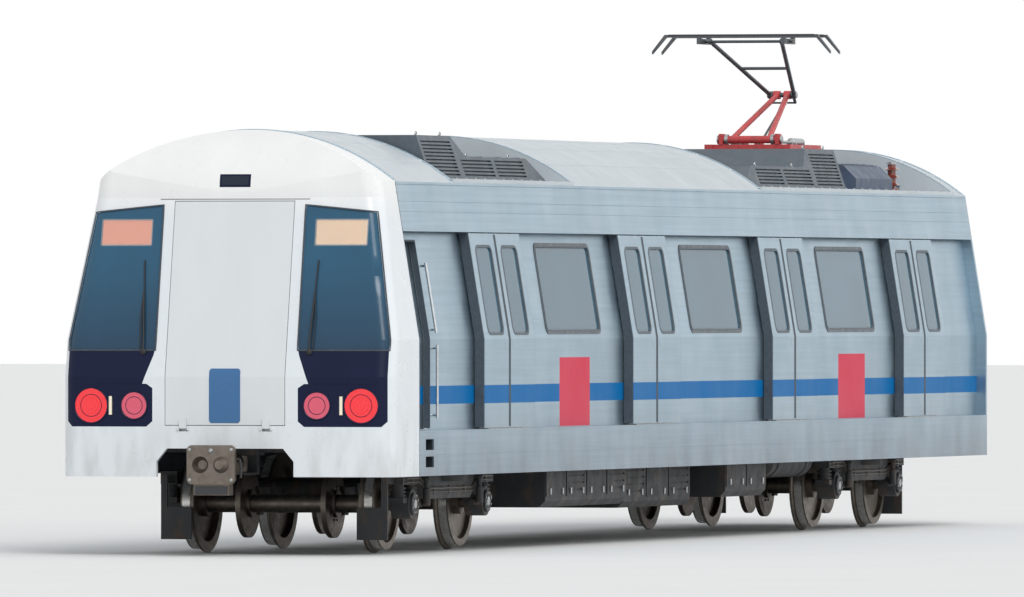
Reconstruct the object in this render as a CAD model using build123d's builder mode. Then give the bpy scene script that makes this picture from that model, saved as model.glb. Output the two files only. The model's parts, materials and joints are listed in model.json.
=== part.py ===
from build123d import *
import os
from functools import cache
from math import atan2, cos, radians, sin, sqrt, tan

os.makedirs("parts", exist_ok=True)

# Leading car of a metro train, in millimetres.
# X runs forward to the cab, Y to the left, Z up. The origin is on the floor under the wheel flanges,
# on the centreline, halfway between the ends of the couplers.

# Overall
COUPLER_END = 11300       # half of the length over the couplers
BODY_REAR = -10850
NOSE = 10800              # foremost point of the cab front
HALF_WIDTH = 1600
WAIST_Z = 1990            # the sides lean inward above this
SIDE_LEAN = 9.2           # degrees
SKIRT_Z = 730             # lower edge of the sides
SOLE_Z = 1150             # top of the sole bars, where the wall panels stand
FLOOR_Z = 1160
GUTTER_Z = 3450
ROOF_Z = 3930
FIT = 0.3                 # gap round a pane or panel that is set into an opening
PIN_FIT = 0.05            # gap round a shaft that turns in its bore

# Side walls
WALL_DEPTH = 100          # the wall panels lie this far inside the door leaves' outer face
WALL = 55
END_WALL = 50
SHEET = 15
CANTRAIL_Z = 2990         # lower edge of the proud band above the doors
LINTEL_Z = 2960           # top of the door openings
CANTRAIL_FLANGE = 20
FLOOR_PLATE = 60
FLOOR_HALF = 1440

# Passenger doors
DOOR_FIRST = 6940         # centre of the foremost doorway
DOOR_PITCH = 5080
DOOR_COUNT = 4
DOOR_OPENING = 1400
DOOR_TRAVEL = 700
LEAF_WIDTH = 838
LEAF_THICK = 45
LEAF_LOW = 1160
LEAF_HIGH = 2980
LEAF_GLASS_WIDTH = 520
LEAF_GLASS_LOW = 2040
LEAF_GLASS_HIGH = 2860
HANGER_WIDTH = 60
HANGER_SPREAD = 560
RAIL_Z = 3200             # underside of the door rail
RAIL_THICK = 12
RAIL_LIP = 18
RAIL_REACH = 2 * (LEAF_WIDTH + DOOR_TRAVEL) + 40

# Windows
WINDOW_WIDTH = 1900
WINDOW_LOW = 2030
WINDOW_HIGH = 2900
WINDOW_RADIUS = 90
WINDOW_FRAME = 35
PANE = 12

# Cab
MASK_BACK = 9900          # rear edge of the moulded cab front
MASK_WALL = 45
MASK_CORNER = 180
FACE_BULGE = 50
RAKE_Z = 1650             # the face leans back above this
FACE_RAKE = 11            # degrees
DOME_Z = 3300             # seam where the dome begins
PARTITION_X = 8560
PARTITION = 40
CAB_DOOR_REAR = 9250
CAB_DOOR_FRONT = 9880
CAB_DOOR_TRAVEL = 600
CAB_DOOR_RECESS = 6       # gap between the wall and the cab door that slides behind it
CAB_LEAF_THICK = 40
CAB_LEAF_LAP = 10         # the leaf runs this far past its opening
CAB_HOOK_Z = 3012         # underside of the hooks that carry the cab door

# Running gear
WHEEL_RADIUS = 430
FLANGE = 30
AXLE_Z = WHEEL_RADIUS + FLANGE
BOGIE_CENTRES = 15100
WHEELBASE = 2400
FLANGE_BACK = 803         # half of the distance between the wheels' inner faces
WHEEL_WIDTH = 135
AXLE_RADIUS = 85
JOURNAL_RADIUS = 65
JOURNAL_END = 1155
BEAM_Y = 1100             # centre of the bogie side beams and the axle boxes
BEAM_WIDTH = 160
BEAM_SEAT_Z = 720
BEAM_END_Z = 640
PIVOT_RADIUS = 70
DISC = (390, 440)         # inner and outer face of each brake disc on an axle
DISC_RADIUS = 320
DISC_HUB = 130
PAD_THICK = 30
PAD_GAP = 6               # gap between brake pads and disc
PAD_REACH = (170, 300)    # the pads grip the disc between these distances from the axle
BRAKE_Z = 590             # centre of the brake cylinders
GUARD_X = 1690            # rear face of the guards ahead of the wheels, from the middle of the bogie
GUARD_THICK = 30
GUARD_LOW = 130
SPRING_SPREAD = 180       # the springs stand this far from the axle, ahead and behind
SPRING_RADIUS = 55

# Underframe
SILL_LOW = 950
SILL_HIGH = SOLE_Z - 50
SILL_Y = (330, 450)       # inner and outer face of each centre sill
BEARER = 120              # width of a cross bearer
BEARER_PITCH = 1080
BOLSTER_HALF = 400
BOLSTER_REACH = 1400
PIVOT_LOW = 640           # lower end of the bogie pivot pins
HEADSTOCK_X = 10300       # front face of the beam behind the cab front
REAR_BEAM_X = -10800

# Roof
ROOF_SHEET = 60
BULKHEAD = 40
LOW_ROOF = 40
FRONT_WELL = (3960, 7980)
REAR_WELL = (-10420, -2830)
UNITS = [(7920, 4020), (-7000, -3100)]     # raised end and low end of each air conditioning unit
UNIT_HALF = 1110
UNIT_LEAN = 0.34          # the units' sides lean inward by this share of their height
UNIT_TOP = 3900
UNIT_LOW = 3710
UNIT_RAISED = 1110
LOUVRE = 16
LOUVRE_PITCH = 34
LOUVRE_DEPTH = 25
FAN_RADIUS = 380
FAN_DEPTH = 40

# Pantograph, as raised
PAN_PIVOT = (-7300, 4010)
LOWER_ARM = 1346
UPPER_ARM = 1508
ARM_ANGLE = 20.7
PAN_BASE_Z = 3900

# Couplers
COUPLER_Z = 845
COUPLER_PIVOT_X = HEADSTOCK_X + 50
GUIDE_CONE = 70           # length of the cone that finds the other coupler
GUIDE_Y = 100
COUPLER_PLATE_X = COUPLER_END - GUIDE_CONE

LEAN = tan(radians(SIDE_LEAN))
RAKE = tan(radians(FACE_RAKE))
DOORS = [DOOR_FIRST - DOOR_PITCH * index for index in range(DOOR_COUNT)]
SIDES = (("left", 1), ("right", -1))
WALL_IN = WALL_DEPTH + WALL


def wall_y(height, depth=0):
    """Half width of the car at a height, depth millimetres inside the door leaves' outer face."""
    return HALF_WIDTH - depth - max(0, height - WAIST_Z) * LEAN


def block(x, y, z, mode=Mode.ADD):
    """Box from its low and high x, y and z."""
    with Locations(((x[0] + x[1]) / 2, (y[0] + y[1]) / 2, (z[0] + z[1]) / 2)):
        Box(x[1] - x[0], y[1] - y[0], z[1] - z[0], mode=mode)


def outline(points, plane, amount, mode=Mode.ADD):
    """Extrude the closed outline through points, drawn on plane."""
    with BuildSketch(plane) as shape:
        with BuildLine():
            Polyline(*points, close=True)
        make_face()
    extrude(shape.sketch, amount=amount, mode=mode)


def section(points, x, side=1, mode=Mode.ADD):
    """Extrude an outline of (depth, height) points along the side of the car."""
    flat = [(side * wall_y(height, depth), height) for depth, height in points]
    outline(flat, Plane.YZ.offset(x[0]), x[1] - x[0], mode)


def wall_plate(x, z, depth, side, mode=Mode.ADD):
    """Plate that follows the side of the car between two depths."""
    heights = [z[0], z[1]] if z[0] >= WAIST_Z or z[1] <= WAIST_Z else [z[0], WAIST_Z, z[1]]
    points = [(depth[0], height) for height in heights]
    points += [(depth[1], height) for height in reversed(heights)]
    section(points, x, side, mode)


def side_window(x, z, radius, side, mode):
    """Rounded opening through one side of the car."""
    centre = ((x[0] + x[1]) / 2, side * (HALF_WIDTH + 50), (z[0] + z[1]) / 2)
    with BuildSketch(Plane(origin=centre, x_dir=(1, 0, 0), z_dir=(0, -side, 0))) as shape:
        RectangleRounded(x[1] - x[0], z[1] - z[0], radius)
    extrude(shape.sketch, amount=700, mode=mode)


def pane(x, z, depth, radius, side):
    """Sheet of glass that fits inside a rounded opening through one side of the car."""
    with BuildPart(mode=Mode.PRIVATE) as sheet:
        wall_plate(x, z, depth, side)
        side_window((x[0] + FIT, x[1] - FIT), (z[0] + FIT, z[1] - FIT), radius, side, Mode.INTERSECT)
    return sheet.part


def window_ring(x, z, depth, side):
    """Frame round a window, FIT inside its opening."""
    with BuildPart(mode=Mode.PRIVATE) as ring:
        add(pane(x, z, depth, WINDOW_RADIUS, side))
        side_window((x[0] + WINDOW_FRAME, x[1] - WINDOW_FRAME), (z[0] + WINDOW_FRAME, z[1] - WINDOW_FRAME),
                    WINDOW_RADIUS - WINDOW_FRAME, side, Mode.SUBTRACT)
    return ring.part


def bar(start, end, radius, mode=Mode.ADD):
    """Round bar between two points."""
    axis = Vector(*end) - Vector(*start)
    with BuildSketch(Plane(origin=start, z_dir=axis)) as shape:
        Circle(radius)
    extrude(shape.sketch, amount=axis.length, mode=mode)


def save(piece, name):
    piece.part.label = name
    export_step(piece.part, f"parts/{name}.step")


# Structure below the floor: two bolsters with their pivot pins, three runs of sills and cross bearers
# between and beyond them, and the coupler brackets
SILL_HEIGHT = (SILL_LOW, SILL_HIGH)
BOLSTER_X = BOGIE_CENTRES / 2
SILL_RUNS = [(REAR_BEAM_X, -BOLSTER_X - BOLSTER_HALF - FIT),
             (-BOLSTER_X + BOLSTER_HALF + FIT, BOLSTER_X - BOLSTER_HALF - FIT),
             (BOLSTER_X + BOLSTER_HALF + FIT, HEADSTOCK_X)]
BEARERS = int((BOLSTER_X - BOLSTER_HALF) / BEARER_PITCH)
with BuildPart() as underframe:
    for run_x in SILL_RUNS:
        for side in (1, -1):
            block(run_x, sorted((side * SILL_Y[0], side * SILL_Y[1])), SILL_HEIGHT)
    for station in range(1 - BEARERS, BEARERS):
        x = station * BEARER_PITCH
        block((x - BEARER / 2, x + BEARER / 2), (-FLOOR_HALF, FLOOR_HALF), SILL_HEIGHT)
    for x in (-BOLSTER_X, BOLSTER_X):
        block((x - BOLSTER_HALF, x + BOLSTER_HALF), (-BOLSTER_REACH, BOLSTER_REACH), SILL_HEIGHT)
        bar((x, 0, PIVOT_LOW), (x, 0, SILL_LOW), PIVOT_RADIUS)
    block((REAR_BEAM_X, REAR_BEAM_X + BEARER), (-FLOOR_HALF, FLOOR_HALF), SILL_HEIGHT)
    block((REAR_BEAM_X, REAR_BEAM_X + 60), (-300, 300), (700, SILL_HIGH))
    block((HEADSTOCK_X - 100, HEADSTOCK_X), (-1300, 1300), SILL_HEIGHT)
    block((COUPLER_PIVOT_X - 150, COUPLER_PIVOT_X + 90), (-200, 200), (COUPLER_Z + 80, SILL_HIGH))
    block((COUPLER_PIVOT_X - 150, COUPLER_PIVOT_X + 90), (-140, 140), (745, COUPLER_Z - 80))
    block((COUPLER_PIVOT_X - 190, COUPLER_PIVOT_X - 120), (-140, 140), (745, SILL_HIGH))
    bar((COUPLER_PIVOT_X, 0, 745), (COUPLER_PIVOT_X, 0, SILL_LOW), 40)
save(underframe, "underframe")

with BuildPart() as floor:
    block((-10800, 10560), (-FLOOR_HALF, FLOOR_HALF), (FLOOR_Z - FLOOR_PLATE, FLOOR_Z))
save(floor, "floor")

# Sole bars: the skirts below the doors, with the sill that the wall panels stand on and footholds
# under the cab doors
FOOTHOLD_X = ((CAB_DOOR_REAR + CAB_DOOR_FRONT) / 2 - 130, (CAB_DOOR_REAR + CAB_DOOR_FRONT) / 2 + 130)
FOOTHOLDS = ((810, 910), (970, 1070))
with BuildPart() as sole_bars:
    for side_name, side in SIDES:
        sill_in = HALF_WIDTH - FLOOR_HALF
        profile = [(0, SKIRT_Z), (0, SOLE_Z), (sill_in, SOLE_Z), (sill_in, SOLE_Z - 40),
                   (SHEET, SOLE_Z - 40), (SHEET, SKIRT_Z + SHEET), (110, SKIRT_Z + SHEET), (110, SKIRT_Z)]
        section(profile, (BODY_REAR + END_WALL, MASK_BACK), side)
        for foothold_z in FOOTHOLDS:
            block(FOOTHOLD_X, sorted((side * (HALF_WIDTH - 2 * SHEET), side * (HALF_WIDTH + 10))), foothold_z,
                  Mode.SUBTRACT)
save(sole_bars, "sole_bars")

# Cantrails: the proud band above the doors, open below, where the door hangers run
with BuildPart() as cantrails:
    for side_name, side in SIDES:
        profile = [(0, CANTRAIL_Z), (0, GUTTER_Z), (WALL_IN, GUTTER_Z), (WALL_IN, LINTEL_Z),
                   (WALL_DEPTH, LINTEL_Z), (WALL_DEPTH, GUTTER_Z - CANTRAIL_FLANGE),
                   (SHEET, GUTTER_Z - CANTRAIL_FLANGE), (SHEET, CANTRAIL_Z)]
        section(profile, (BODY_REAR + END_WALL, MASK_BACK), side)
save(cantrails, "cantrails")

# Wall panels between the doorways
edges = [MASK_BACK]
for centre in DOORS:
    edges += [centre + DOOR_OPENING / 2, centre - DOOR_OPENING / 2]
edges.append(BODY_REAR + END_WALL)
PANELS = [(edges[index + 1], edges[index]) for index in range(0, len(edges), 2)]
WINDOWS = []
for low, high in PANELS[1:-1]:
    WINDOWS.append(((low + high - WINDOW_WIDTH) / 2, (low + high + WINDOW_WIDTH) / 2))

for side_name, side in SIDES:
    with BuildPart() as side_walls:
        for panel in PANELS:
            wall_plate(panel, (SOLE_Z, LINTEL_Z), (WALL_DEPTH, WALL_IN), side)
        for window in WINDOWS:
            side_window(window, (WINDOW_LOW, WINDOW_HIGH), WINDOW_RADIUS, side, Mode.SUBTRACT)
        block((CAB_DOOR_REAR, CAB_DOOR_FRONT), sorted((side * 1200, side * 1650)),
              (FLOOR_Z, LINTEL_Z - 60), Mode.SUBTRACT)
    save(side_walls, f"side_walls_{side_name}")

with BuildPart() as window_frames:
    for side_name, side in SIDES:
        for low, high in WINDOWS:
            add(window_ring((low, high), (WINDOW_LOW, WINDOW_HIGH), (WALL_DEPTH - 6, WALL_IN), side))
save(window_frames, "window_frames")

with BuildPart() as side_windows:
    for side_name, side in SIDES:
        for low, high in WINDOWS:
            add(pane((low + WINDOW_FRAME, high - WINDOW_FRAME),
                     (WINDOW_LOW + WINDOW_FRAME, WINDOW_HIGH - WINDOW_FRAME),
                     (WALL_DEPTH + 8, WALL_DEPTH + 8 + PANE), WINDOW_RADIUS - WINDOW_FRAME, side))
save(side_windows, "side_windows")

# Cab side doors slide rearward behind the wall
CAB_LEAF = (WALL_IN + CAB_DOOR_RECESS, WALL_IN + CAB_DOOR_RECESS + CAB_LEAF_THICK)
CAB_LEAF_X = (CAB_DOOR_REAR - CAB_LEAF_LAP, CAB_DOOR_FRONT + CAB_LEAF_LAP)
CAB_LEAF_Z = (FLOOR_Z + 6, LINTEL_Z - 50)
CAB_GLASS = ((CAB_DOOR_REAR + 110, CAB_DOOR_FRONT - 110), (2060, 2760))

# Door rails: one inside the cantrail over each doorway, and a track inside each cab door
RAIL_DEPTH = 62
RAIL_TOP = RAIL_Z + RAIL_THICK + RAIL_LIP
TRACK = CAB_LEAF[1] + 5   # depth of the track's outer face
TRACK_SHEET = 6
with BuildPart() as door_rails:
    for side_name, side in SIDES:
        for centre in DOORS:
            profile = [(WALL_DEPTH, RAIL_Z), (RAIL_DEPTH, RAIL_Z), (RAIL_DEPTH, RAIL_TOP),
                       (RAIL_DEPTH + 6, RAIL_TOP), (RAIL_DEPTH + 6, RAIL_Z + RAIL_THICK),
                       (WALL_DEPTH, RAIL_Z + RAIL_THICK)]
            section(profile, (centre - RAIL_REACH / 2, centre + RAIL_REACH / 2), side)
        track_in = TRACK + 40
        profile = [(WALL_IN, CAB_HOOK_Z + 22), (WALL_IN, CAB_HOOK_Z + 22 + TRACK_SHEET),
                   (track_in, CAB_HOOK_Z + 22 + TRACK_SHEET), (track_in, CAB_HOOK_Z - 32),
                   (TRACK, CAB_HOOK_Z - 32), (TRACK, CAB_HOOK_Z - FIT),
                   (TRACK + TRACK_SHEET, CAB_HOOK_Z - FIT),
                   (TRACK + TRACK_SHEET, CAB_HOOK_Z - 32 + TRACK_SHEET),
                   (track_in - TRACK_SHEET, CAB_HOOK_Z - 32 + TRACK_SHEET),
                   (track_in - TRACK_SHEET, CAB_HOOK_Z + 22)]
        section(profile, (CAB_LEAF_X[0] - CAB_DOOR_TRAVEL, CAB_LEAF_X[1]), side)
save(door_rails, "door_rails")

# Passenger door leaves: bent at the waist, hung from hooks on the rail
HANGER = (LEAF_THICK - 20, LEAF_THICK)
HOOK_Z = RAIL_TOP + FIT
for side_name, side in SIDES:
    for way_name, way in (("fore", 1), ("aft", -1)):
        with BuildPart() as leaves:
            for centre in DOORS:
                leaf = sorted((centre + way * 1, centre + way * (1 + LEAF_WIDTH)))
                middle = (leaf[0] + leaf[1]) / 2
                wall_plate(leaf, (LEAF_LOW, LEAF_HIGH), (0, LEAF_THICK), side)
                side_window((middle - LEAF_GLASS_WIDTH / 2, middle + LEAF_GLASS_WIDTH / 2),
                            (LEAF_GLASS_LOW, LEAF_GLASS_HIGH), 70, side, Mode.SUBTRACT)
                for end in (-1, 1):
                    hook = middle + end * HANGER_SPREAD / 2
                    profile = [(HANGER[0], LEAF_HIGH - 40), (HANGER[0], HOOK_Z + 14), (78, HOOK_Z + 14),
                               (78, HOOK_Z - 12), (71, HOOK_Z - 12), (71, HOOK_Z), (HANGER[1], HOOK_Z),
                               (HANGER[1], LEAF_HIGH - 40)]
                    section(profile, (hook - HANGER_WIDTH / 2, hook + HANGER_WIDTH / 2), side)
        save(leaves, f"door_leaves_{side_name}_{way_name}")

        with BuildPart() as glass:
            for centre in DOORS:
                middle = centre + way * (1 + LEAF_WIDTH / 2)
                half = LEAF_GLASS_WIDTH / 2
                add(pane((middle - half, middle + half), (LEAF_GLASS_LOW, LEAF_GLASS_HIGH),
                         (12, 12 + PANE), 70, side))
        save(glass, f"door_glass_{side_name}_{way_name}")

# Cab side doors with their glass
for side_name, side in SIDES:
    with BuildPart() as cab_door:
        wall_plate(CAB_LEAF_X, CAB_LEAF_Z, CAB_LEAF, side)
        side_window(CAB_GLASS[0], CAB_GLASS[1], 60, side, Mode.SUBTRACT)
        for end in (0.2, 0.8):
            hook = CAB_LEAF_X[0] + end * (CAB_LEAF_X[1] - CAB_LEAF_X[0])
            lip = TRACK + 20
            profile = [(CAB_LEAF[0] + 10, CAB_LEAF_Z[1] - 30), (CAB_LEAF[0] + 10, CAB_HOOK_Z + 12),
                       (lip + 7, CAB_HOOK_Z + 12), (lip + 7, CAB_HOOK_Z - 12), (lip, CAB_HOOK_Z - 12),
                       (lip, CAB_HOOK_Z), (CAB_LEAF[1], CAB_HOOK_Z), (CAB_LEAF[1], CAB_LEAF_Z[1] - 30)]
            section(profile, (hook - 25, hook + 25), side)
    save(cab_door, f"cab_door_{side_name}")
    with BuildPart() as cab_glass:
        add(pane(CAB_GLASS[0], CAB_GLASS[1], (CAB_LEAF[0] + 10, CAB_LEAF[0] + 10 + PANE), 60, side))
    save(cab_glass, f"cab_door_glass_{side_name}")

# Roof: high barrel sections, and low flat roof under the equipment
ROOF_EDGE = wall_y(GUTTER_Z)
ROOF_RADIUS = (ROOF_EDGE ** 2 + (ROOF_Z - GUTTER_Z) ** 2) / (2 * (ROOF_Z - GUTTER_Z))
ROOF_CENTRE = ROOF_Z - ROOF_RADIUS


def roof_segment(inset, x, mode=Mode.ADD):
    """Barrel of the roof between two stations, inset inside its outer face."""
    with BuildSketch(Plane.YZ.offset(x[0])) as shape:
        with BuildLine():
            ThreePointArc((-ROOF_EDGE + inset, GUTTER_Z), (0, ROOF_Z - inset), (ROOF_EDGE - inset, GUTTER_Z))
            Line((ROOF_EDGE - inset, GUTTER_Z), (-ROOF_EDGE + inset, GUTTER_Z))
        make_face()
    extrude(shape.sketch, amount=x[1] - x[0], mode=mode)


HIGH_ROOFS = [(BODY_REAR + END_WALL, REAR_WELL[0]), (REAR_WELL[1], FRONT_WELL[0]),
              (FRONT_WELL[1], MASK_BACK)]
LOW_ROOFS = [REAR_WELL, FRONT_WELL]
ROOF_FLOOR = GUTTER_Z + LOW_ROOF
with BuildPart() as roof_shell:
    for low, high in HIGH_ROOFS:
        roof_segment(0, (low, high))
        roof_segment(ROOF_SHEET, (low + BULKHEAD, high - BULKHEAD), Mode.SUBTRACT)
save(roof_shell, "roof_shell")

with BuildPart() as roof_wells:
    for low, high in LOW_ROOFS:
        block((low, high), (-ROOF_EDGE, ROOF_EDGE), (GUTTER_Z, ROOF_FLOOR))
save(roof_wells, "roof_wells")

CEILING_Z = 3290
with BuildPart() as ceiling:
    top = CEILING_Z + 30
    edge = wall_y(CEILING_Z - 200, WALL_IN)
    profile = [(-edge, CEILING_Z - 200), (-900, CEILING_Z), (900, CEILING_Z), (edge, CEILING_Z - 200),
               (wall_y(top - 200, WALL_IN), top - 200), (900, top), (-900, top),
               (-wall_y(top - 200, WALL_IN), top - 200)]
    outline(profile, Plane.YZ.offset(BODY_REAR + END_WALL), 10100 - BODY_REAR - END_WALL)
save(ceiling, "ceiling")

# Rear end wall with the opening into the next car, and half of the bellows
GANGWAY_HALF = 620
GANGWAY_HIGH = 3120
with BuildPart() as rear_end_wall:
    with BuildSketch(Plane.YZ.offset(BODY_REAR)):
        with BuildLine():
            Polyline((-ROOF_EDGE, GUTTER_Z), (-HALF_WIDTH, WAIST_Z), (-HALF_WIDTH, SKIRT_Z),
                     (HALF_WIDTH, SKIRT_Z), (HALF_WIDTH, WAIST_Z), (ROOF_EDGE, GUTTER_Z))
            ThreePointArc((ROOF_EDGE, GUTTER_Z), (0, ROOF_Z), (-ROOF_EDGE, GUTTER_Z))
        make_face()
    extrude(amount=END_WALL)
    block((BODY_REAR - 10, BODY_REAR + END_WALL + 10), (-GANGWAY_HALF, GANGWAY_HALF),
          (FLOOR_Z, GANGWAY_HIGH), Mode.SUBTRACT)
    block((BODY_REAR - 10, BODY_REAR + END_WALL + 10), (-420, 420), (SKIRT_Z - 10, SILL_LOW + 60),
          Mode.SUBTRACT)
save(rear_end_wall, "rear_end_wall")

BELLOWS_FOLDS = 5
BELLOWS_LENGTH = 380
with BuildPart() as gangway_bellows:
    fold = BELLOWS_LENGTH / BELLOWS_FOLDS
    height = GANGWAY_HIGH - FLOOR_Z
    middle = (GANGWAY_HIGH + FLOOR_Z) / 2
    for index in range(BELLOWS_FOLDS):
        for start, length, reach in ((0, 0.5, 130), (0.5, 0.5, 80)):
            x = BODY_REAR - (index + start + length) * fold
            with BuildSketch(Plane(origin=(x, 0, middle), x_dir=(0, 1, 0), z_dir=(1, 0, 0))):
                RectangleRounded(2 * (GANGWAY_HALF + reach), height + 2 * reach, 120)
                RectangleRounded(2 * GANGWAY_HALF, height, 90, mode=Mode.SUBTRACT)
            extrude(amount=length * fold)
save(gangway_bellows, "gangway_bellows")

# Cab front: plan sections that narrow and lean back, under a dome
LAP = 20                  # the form runs this far past the edges that it is cut to
DOME_SWELL = 30
MASK_LEVELS = [SKIRT_Z - LAP, RAKE_Z, WAIST_Z, DOME_Z, ROOF_Z + LAP]


def nose_x(height):
    """Foremost point of the cab front at a height: upright, leaning back, then upright under the dome."""
    if height > DOME_Z:
        return nose_x(DOME_Z) + DOME_SWELL
    return NOSE - max(0, height - RAKE_Z) * RAKE


@cache
def mask_form(inset):
    """Solid form of the cab front, inset inside its outer face, a little longer and deeper than the front."""
    back = MASK_BACK - LAP
    low = SKIRT_Z - LAP
    width = HALF_WIDTH + LAP
    with BuildPart(mode=Mode.PRIVATE) as form:
        for height in MASK_LEVELS:
            half = wall_y(height, inset)
            shoulder = nose_x(height) - inset - FACE_BULGE
            with BuildSketch(Plane.XY.offset(height)):
                with BuildLine():
                    Polyline((shoulder, -half), (back, -half), (back, half), (shoulder, half))
                    ThreePointArc((shoulder, half), (shoulder + FACE_BULGE, 0), (shoulder, -half))
                face = make_face()
                corners = [corner for corner in face.vertices() if corner.X > MASK_BACK]
                fillet(corners, MASK_CORNER - inset)
        loft(ruled=True)
        crown = ROOF_RADIUS - inset
        spring = ROOF_CENTRE + sqrt(crown ** 2 - width ** 2)
        with BuildSketch(Plane.YZ.offset(back)):
            with BuildLine():
                Polyline((width, spring), (width, low), (-width, low), (-width, spring))
                ThreePointArc((-width, spring), (0, ROOF_CENTRE + crown), (width, spring))
            make_face()
        extrude(amount=NOSE - back, mode=Mode.INTERSECT)
        reach = nose_x(DOME_Z) - inset + FIT - MASK_BACK
        drop = ROOF_Z - inset - DOME_Z
        radius = (reach ** 2 + drop ** 2) / (2 * drop)
        turn = atan2(reach, radius - drop)
        points = [(MASK_BACK + radius * sin(part * turn), ROOF_Z - inset - radius * (1 - cos(part * turn)))
                  for part in (0, 0.5, 1)]
        with BuildSketch(Plane.XZ.offset(-width)):
            with BuildLine():
                Polyline(points[0], (back, points[0][1]), (back, low), (NOSE + LAP, low),
                         (NOSE + LAP, DOME_Z), points[2])
                ThreePointArc(points[2], points[1], points[0])
            make_face()
        extrude(amount=2 * width, mode=Mode.INTERSECT)
    return form.part


def front_prism(points, sides=(1, -1), mode=Mode.ADD):
    """Prism along X through the cab front with an outline of (y, z) points, on each side."""
    for side in sides:
        outline([(side * y, z) for y, z in points], Plane.YZ.offset(MASK_BACK), NOSE + 50 - MASK_BACK, mode)


def skin(depth, points, sides=(1, -1)):
    """Part of the cab front between two depths, inside an outline of (y, z) points."""
    with BuildPart(mode=Mode.PRIVATE) as piece:
        front_prism(points, sides)
        add(mask_form(depth[0]), mode=Mode.INTERSECT)
        add(mask_form(depth[1]), mode=Mode.SUBTRACT)
    return piece.part


EDGE = 60                 # white margin at the corner of the cab front
SCREEN = [(690, 3225), (690, 1900), (wall_y(WAIST_Z, EDGE), 1900), (wall_y(WAIST_Z, EDGE), WAIST_Z),
          (wall_y(3160, EDGE), 3160)]
APRON = [(690, 1900), (700, 1850), (800, 1585), (wall_y(WAIST_Z, EDGE), 1585), (wall_y(WAIST_Z, EDGE), 1900)]
LAMP = [(760, 1585), (700, 1545), (700, 1240), (760, 1190), (1490, 1190), (1540, 1240), (1540, 1585)]
DOOR_HALF = 580
DOOR_LOW = 1200
DOOR_HIGH = 3270
DOOR_GAP = 6
EXIT = [(-DOOR_HALF, DOOR_LOW), (DOOR_HALF, DOOR_LOW), (DOOR_HALF, DOOR_HIGH), (-DOOR_HALF, DOOR_HIGH)]
EXIT_PIN = (NOSE + 6, DOOR_LOW - 12)
EXIT_PIN_RADIUS = 7
EXIT_HINGES = (-400, 400)
MARKER = [(-150, 3395), (150, 3395), (150, 3515), (-150, 3515)]
NOTCH = [(-660, SKIRT_Z - 30), (-660, 870), (-560, 990), (560, 990), (660, 870), (660, SKIRT_Z - 30)]

with BuildPart() as cab_mask:
    block((MASK_BACK, NOSE + 10), (-HALF_WIDTH, HALF_WIDTH), (SKIRT_Z, ROOF_Z))
    add(mask_form(0), mode=Mode.INTERSECT)
    add(mask_form(MASK_WALL), mode=Mode.SUBTRACT)
    for shape in (SCREEN, APRON, LAMP):
        front_prism(shape, (1, -1), Mode.SUBTRACT)
    for shape in (EXIT, MARKER, NOTCH):
        front_prism(shape, (1,), Mode.SUBTRACT)
    for y in EXIT_HINGES:
        block((NOSE - 40, NOSE + 40), (y - 40, y + 40), (DOOR_LOW - 52, DOOR_LOW), Mode.SUBTRACT)
        for ear in (-60, 40):
            block((NOSE - 30, NOSE + 15), (y + ear, y + ear + 20), (DOOR_LOW - 40, DOOR_LOW - 2))
        bar((EXIT_PIN[0], y - 60, EXIT_PIN[1]), (EXIT_PIN[0], y + 60, EXIT_PIN[1]), EXIT_PIN_RADIUS)
save(cab_mask, "cab_mask")

with BuildPart() as windscreens:
    add(skin((8, 22), [(y + sy * FIT, z + sz * FIT) for (y, z), (sy, sz) in
                       zip(SCREEN, ((1, -1), (1, 1), (-1, 1), (-1, 0), (-1, -1)))]))
save(windscreens, "windscreens")

with BuildPart() as windscreen_surrounds:
    add(skin((0, MASK_WALL), [(y + sy * FIT, z + sz * FIT) for (y, z), (sy, sz) in
                              zip(APRON, ((1, -1), (1, 0), (1, 1), (-1, 1), (-1, -1)))]))
    add(skin((6, MASK_WALL), [(-150 + FIT, 3395 + FIT), (150 - FIT, 3395 + FIT), (150 - FIT, 3515 - FIT),
                              (-150 + FIT, 3515 - FIT)], (1,)))
save(windscreen_surrounds, "windscreen_surrounds")

LAMP_Z = 1385
TAIL_Y = 1300
TAIL_RADIUS = 165
HEAD_Y = 880
HEAD_RADIUS = 130


def lamp_disc(depth, y, radius):
    """Round lamp on each side, flush with the cab front."""
    with BuildPart(mode=Mode.PRIVATE) as disc:
        for side in (1, -1):
            bar((MASK_BACK, side * y, LAMP_Z), (NOSE + 100, side * y, LAMP_Z), radius)
        add(mask_form(depth[0]), mode=Mode.INTERSECT)
        add(mask_form(depth[1]), mode=Mode.SUBTRACT)
    return disc.part


with BuildPart() as lamp_housings:
    add(skin((3, MASK_WALL), [(y + sy * FIT, z + sz * FIT) for (y, z), (sy, sz) in
                              zip(LAMP, ((0, -1), (1, 0), (1, 0), (0, 1), (0, 1), (-1, 0), (-1, -1)))]))
    for side in (1, -1):
        bar((MASK_BACK, side * TAIL_Y, LAMP_Z), (NOSE + 100, side * TAIL_Y, LAMP_Z), TAIL_RADIUS,
            Mode.SUBTRACT)
        bar((MASK_BACK, side * HEAD_Y, LAMP_Z), (NOSE + 100, side * HEAD_Y, LAMP_Z), HEAD_RADIUS,
            Mode.SUBTRACT)
save(lamp_housings, "lamp_housings")

with BuildPart() as tail_lamps:
    add(lamp_disc((1, MASK_WALL), TAIL_Y, TAIL_RADIUS - FIT))
save(tail_lamps, "tail_lamps")

with BuildPart() as head_lamps:
    add(lamp_disc((1, MASK_WALL), HEAD_Y, HEAD_RADIUS - FIT))
save(head_lamps, "head_lamps")

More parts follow.
